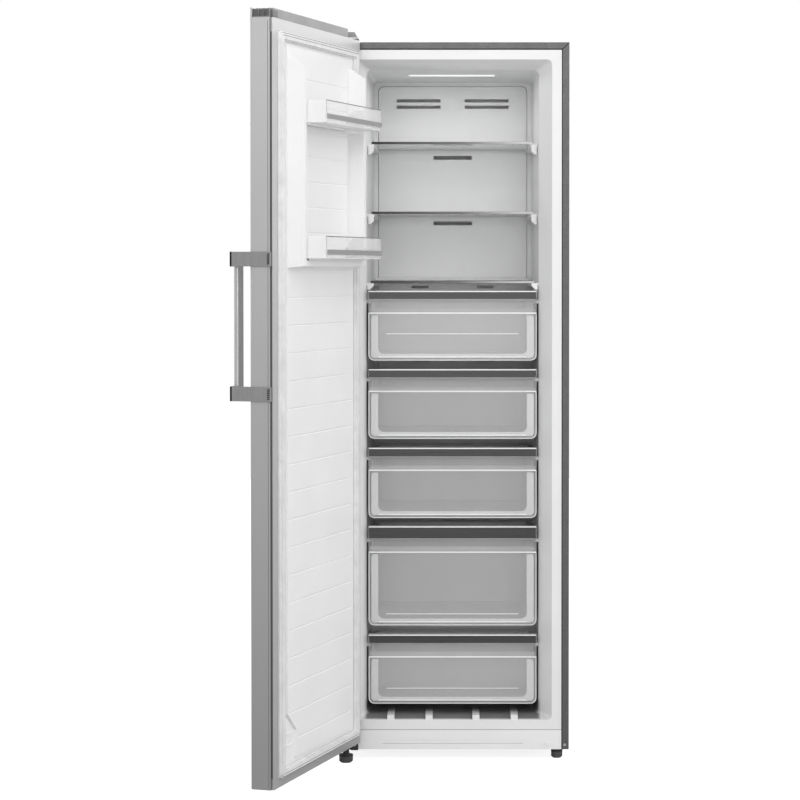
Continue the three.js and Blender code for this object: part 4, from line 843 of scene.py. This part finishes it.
def shelf_supports(name):
    """The moulded noses under a shelf's front corners, sloped on the side of the room."""
    low = drawn_box(f"shelf_{name}_glass")[0]
    top = low.z - RAIL["cover"] - SUPPORT["gap"]
    foot = top - SUPPORT["heights"][name]
    nose = bar(
        f"shelf_{name}_support_right", SUPPORT["x"],
        (low.y - SUPPORT["before"], low.y + SUPPORT["depth"]), (foot, top),
    )
    corner = place(SUPPORT["x"][0], 0, foot)

    def at_corner(*ends):
        return all(abs(end.x - corner.x) < MM and abs(end.z - corner.z) < MM for end in ends)

    bevelled(nose, at_corner, SUPPORT["slope"], segments=1)
    rounded(nose, width=2.5, segments=3)
    dress(nose, LINER_WHITE, "cabinet", "white_plastic")
    dress(mirrored(nose, f"shelf_{name}_support_left"), LINER_WHITE, "cabinet", "white_plastic")


# ---- Evaporator cover ----------------------------------------------------------------

GRILLE = {
    "x": 89, "width": 44, "levels": (1206, 1003), "bars": 5, "bar": 2.2, "half_height": 3.4,
    "depth": (0.6, 2.4),
}
RIM = {
    "outer": 217.2, "gap": 1.1, "foot": 8, "high": 1766.8, "front": 1.2, "depth": 17, "corner": 16.7,
    "open_below": 60,
}


def slot_bars():
    """The upright bars that part the two low pairs of slots."""
    cover = drawn_box("evaporator_cover")[0]
    depth = [cover.y + inward for inward in GRILLE["depth"]]
    half_width = GRILLE["bar"] / 2
    half_height = GRILLE["half_height"]
    bars = []
    for level in GRILLE["levels"]:
        for side in (-1, 1):
            for index in range(GRILLE["bars"]):
                share = (index + 1) / (GRILLE["bars"] + 1) - 0.5
                x = side * GRILLE["x"] + GRILLE["width"] * share
                bars.append(bar(
                    "slot_bar", (x - half_width, x + half_width), depth,
                    (level - half_height, level + half_height), edge=0.3, segments=2,
                ))
    dress(joined("low_slot_bars", bars), LINER_WHITE, "cabinet", "white_plastic")


def cover_rim():
    """The liner's moulded surround that the evaporator cover is let into."""
    low, high = drawn_box("evaporator_cover")
    front = low.y + RIM["front"]
    back = front + RIM["depth"]
    rim = bar(
        "evaporator_cover_rim", (-RIM["outer"], RIM["outer"]), (front, back),
        (low.z + RIM["foot"], RIM["high"]),
    )
    gap = RIM["gap"]
    middle = cornered(
        bar(
            "opening", (low.x - gap, high.x + gap), (front - CUT_PAST, back + CUT_PAST),
            (low.z - RIM["open_below"], high.z + gap),
        ), RIM["corner"],
    )
    rounded(opened(rim, middle), width=0.8)
    dress(rim, LINER_WHITE, "cabinet", "white_plastic")


# ---- Cabinet front -------------------------------------------------------------------

SEAM = {
    "side": 2, "top": 2.8, "mitre": 2, "depth": (-0.12, -0.02), "lap": 0.2, "foot": 4, "short": 1,
    "edge": 0.04,
}
KICK_TOP_LINE = {"lap": 0.5, "height": 1.4}
KICK_LINE = {"half": 180, "level": 41.2, "height": 0.9}


def seam(x, z):
    """A flat dark line on the cabinet's front."""
    return bar("seam", x, SEAM["depth"], z, SEAM["edge"], segments=1)


def front_seams():
    """Flat dark strips of painted shade where the steel front meets the liner and at the mitred corners
    of the sheets, and grey strips of painted shade along the kick panel.
    """
    panel = drawn_box("top_panel")[0]
    side = drawn_box("side_panel_right")[0]
    foot, kick = drawn_box("kick_panel")
    end = side.x + SEAM["side"]
    upright = seam((side.x - SEAM["lap"], end), (foot.z + SEAM["foot"], panel.z))
    level = seam((-end, end), (panel.z - SEAM["lap"], panel.z + SEAM["top"]))
    reach = (HALF_WIDTH - side.x - SEAM["short"]) * math.sqrt(2)
    half = SEAM["mitre"] / 2
    mitre = seam((side.x, side.x + reach), (panel.z - half, panel.z + half))
    corner = Matrix.Translation(place(side.x, 0, panel.z))
    mitre.data.transform(corner @ Matrix.Rotation(math.radians(-45), 4, "Y") @ corner.inverted())
    pieces = [upright, level, mitre, mirrored(upright, "seam"), mirrored(mitre, "seam")]
    dress(joined("front_seams", pieces), SHADOW_LINE, "cabinet", "black_plastic")
    # painted shade: grey lines at the kick panel's top and under its groove
    low = kick.z - KICK_TOP_LINE["lap"]
    lines = [
        seam((-side.x, side.x), (low, low + KICK_TOP_LINE["height"])),
        seam(
            (-KICK_LINE["half"], KICK_LINE["half"]),
            (KICK_LINE["level"], KICK_LINE["level"] + KICK_LINE["height"]),
        ),
    ]
    dress(joined("kick_lines", lines), SHADOW_GREY, "cabinet", "white_plastic")


# ---- Door ----------------------------------------------------------------------------

BIN_FACE = 82.5  # Y of the raised band on a bin's front, closed
BIN_RIM = 81  # and of the clear front above it
BIN_STRIP_PLACE = {"half": 193.2, "low": 9.1, "high": 21, "proud": 0.7}
BIN_RIB = {"inset": 2, "y": (36, 39), "height": 4.4}
BIN_EDGE = {"proud": 0.5, "height": 2.2, "gap": 0.1, "width": 1.2, "above_strip": 2}


def bin_strip(name):
    """The grey strip on the raised band of a bin's front, its edges and the rib under its floor."""
    low, high = drawn_box(f"bin_{name}_front")
    foot, top = low.z, high.z
    half = BIN_STRIP_PLACE["half"]
    strip_top = foot + BIN_STRIP_PLACE["high"]
    strip = bar(
        f"bin_{name}_strip", (-half, half), (BIN_FACE + SEAT, BIN_FACE + BIN_STRIP_PLACE["proud"]),
        (foot + BIN_STRIP_PLACE["low"], strip_top), edge=0.25, segments=2,
    )
    dress(swung(strip), BIN_STRIP, f"bin_{name}", "grey_plastic")
    reach = half - BIN_RIB["inset"]
    rib_foot = foot - BIN_RIB["height"]
    rib = bar(f"bin_{name}_rib", (-reach, reach), BIN_RIB["y"], (rib_foot, foot - SEAT), edge=0.6)
    dress(swung(rib), WHITE, f"bin_{name}", "white_plastic")
    face = (BIN_RIM + SEAT, BIN_RIM + BIN_EDGE["proud"])
    under = top - BIN_EDGE["height"]
    upright = (strip_top + BIN_EDGE["above_strip"], under - BIN_EDGE["gap"])
    edges = [
        bar("edge", (-half, half), face, (under, top - BIN_EDGE["gap"]), edge=0.15, segments=2),
        bar("edge", (half - BIN_EDGE["width"], half), face, upright, edge=0.15, segments=2),
    ]
    dress(swung(joined(f"bin_{name}_edges", edges)), EDGE_LINE, f"bin_{name}", "clear_plastic")


# Inward and outward are counted from the door's free edge.
LINING = {"inward": (4.9, 3.4), "y": (-18.4, -13.8), "z": (76, 1800)}
HEM = {"outward": (0.02, 0.16), "edge": 0.06}
HEM_LINES = (((-24.4, -23.3), (54, 1826)), ((-18.6, -17.2), (1800, 1829)))


def door_edge_lines():
    """The dark lining of the channel along the door's free edge and the hem lines beside it."""
    inner = [DOOR_EDGE - inward for inward in LINING["inward"]]
    outer = [DOOR_EDGE + outward for outward in HEM["outward"]]
    pieces = [bar("door_edge_lining", inner, LINING["y"], LINING["z"], edge=0.3, segments=2)]
    for y, z in HEM_LINES:
        pieces.append(bar("hem", outer, y, z, HEM["edge"], segments=1))
    dress(swung(joined("door_edge_lining", pieces)), DARK_GREY, "door", "black_plastic")


CAP_CORNER = {"x": (262, 296.9), "y": (-18.5, -11.5), "z": (1833.2, 1850.5)}
CAP_STEP = 2  # how far the cap's end lies behind the door's free edge
CAP_POCKET = {"depths": ((-60, -47.6), (-44.6, -32), (-29.4, -21)), "z": (1836, 1851), "proud": 0.5}


def cap_corner():
    """The dark rounded end of the door's top cap at its free corner, and the pockets in its end."""
    corner = bar(
        "cap_corner", CAP_CORNER["x"], CAP_CORNER["y"], CAP_CORNER["z"], edge=2.4, segments=4,
    )
    dress(swung(corner), DARK_GREY, "door", "grey_plastic")
    end = DOOR_EDGE - CAP_STEP + SEAT
    pockets = [
        bar("pocket", (end, end + CAP_POCKET["proud"]), y, CAP_POCKET["z"], edge=0.2, segments=2)
        for y in CAP_POCKET["depths"]
    ]
    dress(swung(joined("cap_pockets", pockets)), DARK_GREY, "door", "grey_plastic")


GASKET = {"low": 71.3, "high": 1804.7}
GASKET_FOLD_SHADOW = {"face": -0.45, "thickness": 0.25, "levels": (1800.4, 1795), "height": 1.1, "half": 258}


def painted_gasket_shadows():
    """Dark strips of painted shade where the seal folds, along the door's top and bottom."""
    half = GASKET_FOLD_SHADOW["half"]
    half_height = GASKET_FOLD_SHADOW["height"] / 2
    depth = (GASKET_FOLD_SHADOW["face"], GASKET_FOLD_SHADOW["face"] + GASKET_FOLD_SHADOW["thickness"])
    lines = []
    for level in GASKET_FOLD_SHADOW["levels"]:
        for z in (level, GASKET["low"] + GASKET["high"] - level):
            lines.append(bar(
                "fold", (-half, half), depth, (z - half_height, z + half_height), edge=0.1, segments=1,
            ))
    dress(swung(joined("gasket_fold_shade", lines)), DARK_GREY, "door", "seal")


TEETH = {
    "x": 301.8, "y": (-25, -18.5), "count": 6, "height": 2.2, "margin": 4, "proud": 0.9, "tilt": 24,
}
PLUG = {"inner": 278.5, "proud": 0.25, "y": (-117.2, -113), "past": 0.2}


def bracket_teeth(end):
    """A handle bracket's dark toothed insert beside the door's edge channel, and its dark plug."""
    low, high = drawn_box(f"handle_bracket_{end}")
    room = (high.z - low.z - 2 * TEETH["margin"]) / TEETH["count"]
    half_height = TEETH["height"] / 2
    teeth = []
    for index in range(TEETH["count"]):
        z = low.z + TEETH["margin"] + room * (index + 0.5)
        tooth = bar(
            "tooth", (TEETH["x"] + SEAT, TEETH["x"] + TEETH["proud"]), TEETH["y"],
            (z - half_height, z + half_height), edge=0.25, segments=2,
        )
        middle = Matrix.Translation(place(TEETH["x"], sum(TEETH["y"]) / 2, z))
        tilt = Matrix.Rotation(math.radians(TEETH["tilt"]), 4, "X")
        tooth.data.transform(middle @ tilt @ middle.inverted())
        teeth.append(tooth)
    dress(swung(joined(f"bracket_teeth_{end}", teeth)), SHADOW_LINE, "door", "black_plastic")
    plug = bar(
        f"bracket_plug_{end}", (PLUG["inner"], TEETH["x"] + PLUG["proud"]), PLUG["y"],
        (low.z - PLUG["past"], high.z + PLUG["past"]), edge=0.6,
    )
    dress(swung(plug), SHADOW_LINE, "door", "black_plastic")


# ---- Feet ----------------------------------------------------------------------------

FOOT_RIBS = {"count": 22, "low": 3.2, "high": 14.5, "root": 1.4, "proud": 0.5, "half": 0.9}
COLLAR = {"above": (0.6, 5.5), "proud": 0.9, "sides": 40}
NUT = {"above": (6.6, 10.6), "radius": 9.5, "sides": 6}
DISC = {"rim": 0.15, "raised": 0.5}  # the rim as a share of the radius


def foot_plan(side):
    """The middle and the radius of a levelling foot, seen from above."""
    low, high = drawn_box(f"levelling_foot_{side}")
    return (low.x + high.x) / 2, (low.y + high.y) / 2, (high.x - low.x) / 2


def foot_ribs(side):
    """The upright ribs round a levelling foot that fingers turn it by."""
    x, y, reach = foot_plan(side)
    half = FOOT_RIBS["half"]
    rib = bar(
        f"foot_{side}_ribs", (x + reach - FOOT_RIBS["root"], x + reach + FOOT_RIBS["proud"]),
        (y - half, y + half), (FOOT_RIBS["low"], FOOT_RIBS["high"]), edge=0.4, segments=2,
    )
    round_row(rib, x, y, FOOT_RIBS["count"])
    dress(rib, DARK_GREY, f"foot_{side}", "black_plastic")


def disc(name, x, y, above, radius, sides):
    """A disc or a nut over a foot's ribs, its two faces raised inside a chamfer."""
    low, high = (FOOT_RIBS["high"] + rise for rise in above)
    bpy.ops.object.select_all(action="DESELECT")
    bpy.ops.mesh.primitive_cylinder_add(
        vertices=sides, radius=radius * MM, depth=(high - low) * MM,
        location=place(x, y, (low + high) / 2),
    )
    piece = bpy.context.object
    piece.name = piece.data.name = name
    settle(piece)
    edit(piece)
    pick(piece, lambda centre, normal: abs(normal.z) > FACING)
    bpy.ops.mesh.inset(thickness=radius * DISC["rim"] * MM)
    bpy.ops.mesh.extrude_region_shrink_fatten(TRANSFORM_OT_shrink_fatten={"value": DISC["raised"] * MM})
    leave()
    rounded(piece, width=0.4)
    return piece


def foot_collar(side):
    """The black collar over a levelling foot's ribs and the lock nut on its stud."""
    x, y, reach = foot_plan(side)
    collar = disc(
        f"foot_{side}_collar", x, y, COLLAR["above"], reach + COLLAR["proud"], COLLAR["sides"]
    )
    dress(collar, BLACK, f"foot_{side}", "black_plastic")
    nut = disc(f"foot_{side}_nut", x, y, NUT["above"], NUT["radius"], NUT["sides"])
    dress(nut, BLACK_PAINT, f"foot_{side}", "black_plastic")


# ---- Screws --------------------------------------------------------------------------

SHIELD = {"x": (-260, -241), "y": (-4.1, -3.35), "z": (25, 48)}
REAR_HEM = {"x": (-289, 289), "y": (590.5, 592.2), "z": (288.3, 294.7)}
REAR_SCREWS_DOWN = 8  # from the compressor cover's top edge to its upper row of screws

# How far the other screws of a row lie from its first one.
SECOND_HINGE_BOLT = [(-35, 0.75, -1.6)]
OTHER_REAR_SCREWS = [(-282, 0, 0), (282, 0, 0), (-282, 0, -236), (0, 0, -236), (282, 0, -236)]
OTHER_PANEL_SCREWS = [
    (0, 0, 500), (0, 0, 1000), (-572, 0, 0), (-572, 0, 500), (-572, 0, 1000),
]


def screw_row(name, x, y, z, radius, others, facing=-1):
    """Zinc screws on the cabinet: the first one and its copies."""
    first = screw(f"{name}_1", x, y, z, radius, facing)
    dress(first, ZINC, "cabinet", "zinc_steel")
    for number, shift in enumerate(others, 2):
        dress(copied(first, f"{name}_{number}", shift), ZINC, "cabinet", "zinc_steel")


def screws():
    """The screws, the cap on the kick panel, the lower hinge's shield and the hem on the back."""
    dress(screw("frame_screw", x=287, y=0, z=38.4, radius=3.6), ZINC, "cabinet", "zinc_steel")
    dress(screw("kick_cap", x=243.4, y=0, z=42.2, radius=5), WHITE, "cabinet", "white_plastic")
    shield = bar("hinge_shield", SHIELD["x"], SHIELD["y"], SHIELD["z"], edge=0.3, segments=2)
    dress(shield, BLACK_PAINT, "cabinet", "compressor_paint")
    screw_row("hinge_bolt", -250.5, min(SHIELD["y"]), 39, radius=4.4, others=SECOND_HINGE_BOLT)
    sheet = drawn_box("compressor_cover")[1]
    level = sheet.z - REAR_SCREWS_DOWN
    screw_row("rear_screw", 0, sheet.y, level, radius=4, others=OTHER_REAR_SCREWS, facing=1)
    hem = bar("rear_hem", REAR_HEM["x"], REAR_HEM["y"], REAR_HEM["z"], edge=0.5, segments=2)
    dress(hem, ZINC, "cabinet", "zinc_steel")
    screw_row("panel_screw", 286, 591.3, 700, radius=4, others=OTHER_PANEL_SCREWS, facing=1)


def build_details():
    for number in DRAWERS:
        drawer_details(number)
    for name in SHELVES:
        shelf_rail(name)
        shelf_supports(name)
    slot_bars()
    cover_rim()
    front_seams()
    for name in BINS:
        bin_strip(name)
    for end in ("lower", "upper"):
        bracket_teeth(end)
    for side in ("left", "right"):
        foot_ribs(side)
        foot_collar(side)
    door_edge_lines()
    cap_corner()
    painted_gasket_shadows()
    screws()


# ---- Camera, light and floor ---------------------------------------------------------

CAMERA_DISTANCE = 6100  # in front of the cabinet's front
CAMERA_X = 6.4
CAMERA_HEIGHT = 1250
FOCAL_PIXELS = 2394
PICTURE = 800
VANISHING = (455, 271)  # where the level straight ahead ends, in the photograph's pixels
TILT = math.radians(1.2)
SENSOR = 36


def camera():
    data = bpy.data.cameras.new("camera")
    data.sensor_width = SENSOR
    data.lens = SENSOR * FOCAL_PIXELS / PICTURE
    data.shift_x = (PICTURE / 2 - VANISHING[0]) / PICTURE
    level = PICTURE / 2 - VANISHING[1] - FOCAL_PIXELS * math.tan(TILT)
    data.shift_y = -level / PICTURE
    data.clip_end = 40
    eye = bpy.data.objects.new("camera", data)
    bpy.context.collection.objects.link(eye)
    eye.location = place(CAMERA_X, -CAMERA_DISTANCE, CAMERA_HEIGHT)
    eye.rotation_euler = (math.pi / 2 - TILT, 0, 0)
    bpy.context.scene.camera = eye


def softbox(name, x, y, z, aim, size, power):
    """A lamp of a size in metres and a power in watts that the camera doesn't see."""
    data = bpy.data.lights.new(name, "AREA")
    data.shape = "RECTANGLE"
    data.size, data.size_y = size
    data.energy = power
    lamp = bpy.data.objects.new(name, data)
    bpy.context.collection.objects.link(lamp)
    lamp.location = place(x, y, z)
    direction = place(*aim) - lamp.location
    lamp.rotation_euler = direction.to_track_quat("-Z", "Y").to_euler()
    lamp.visible_camera = False


def world():
    """A grey surround, lighter above, that the camera sees as white."""
    surround = bpy.data.worlds.new("surround")
    bpy.context.scene.world = surround
    surround.use_nodes = True
    nodes, links = surround.node_tree.nodes, surround.node_tree.links
    light = nodes["Background"]
    light.inputs["Color"].default_value = (1, 1, 1, 1)
    level = nodes.new("ShaderNodeSeparateXYZ")
    links.new(nodes.new("ShaderNodeTexCoord").outputs["Generated"], level.inputs["Vector"])
    span = nodes.new("ShaderNodeMapRange")
    for socket, value in (("From Min", -0.3), ("From Max", 0.6), ("To Min", 0.44), ("To Max", 0.76)):
        span.inputs[socket].default_value = value
    links.new(level.outputs["Z"], span.inputs["Value"])
    links.new(span.outputs["Result"], light.inputs["Strength"])
    white = nodes.new("ShaderNodeBackground")
    white.inputs["Color"].default_value = (1, 1, 1, 1)
    path = nodes.new("ShaderNodeLightPath")
    mix = nodes.new("ShaderNodeMixShader")
    links.new(path.outputs["Is Camera Ray"], mix.inputs["Fac"])
    links.new(light.outputs["Background"], mix.inputs[1])
    links.new(white.outputs["Background"], mix.inputs[2])
    links.new(mix.outputs["Shader"], nodes["World Output"].inputs["Surface"])


FLOOR_GLOW = 0.85  # the floor's own light, for the camera alone


def floor():
    """A pale floor that reads white to the camera and keeps the freezer's shadow."""
    bpy.ops.object.select_all(action="DESELECT")
    bpy.ops.mesh.primitive_plane_add(size=16, location=place(0, 300, 0))
    ground = bpy.context.object
    ground.name = "floor"
    settle(ground)
    finish = Finish("pale_floor", (0.5, 0.5, 0.5), 0.7)
    finish.ramp(finish.noise(2), [(0.3, 0.48), (0.7, 0.52)], "Base Color")
    finish.surface.inputs["Emission Color"].default_value = (1, 1, 1, 1)
    path = finish.nodes.new("ShaderNodeLightPath")
    glow = finish.nodes.new("ShaderNodeMath")
    glow.operation = "MULTIPLY"
    glow.inputs[1].default_value = FLOOR_GLOW
    finish.links.new(path.outputs["Is Camera Ray"], glow.inputs[0])
    finish.links.new(glow.outputs["Value"], finish.surface.inputs["Emission Strength"])
    ground.data.materials.append(finish.material)


def lights():
    softbox("key_light", 300, -2700, 2900, aim=(0, 0, 1200), size=(2.2, 1.4), power=26)
    softbox("front_light", 0, -5700, 1900, aim=(0, 0, 1000), size=(3, 3), power=60)
    softbox("right_light", 3600, -700, 1800, aim=(-300, -300, 1000), size=(2, 2.4), power=44)
    softbox("back_light", 1800, 4600, 2600, aim=(0, 300, 900), size=(2.4, 2.4), power=70)
    softbox("left_light", -4200, 800, 2000, aim=(-300, 0, 900), size=(2, 2.4), power=22)
    softbox("room_light", -2, 204, 1758, aim=(-2, 204, 900), size=(0.22, 0.025), power=0.4)


refined_shell()
refined_door()
refined_contents()
inner_materials()
build_details()
camera()
world()
floor()
lights()

bpy.context.scene.view_settings.view_transform = "Standard"
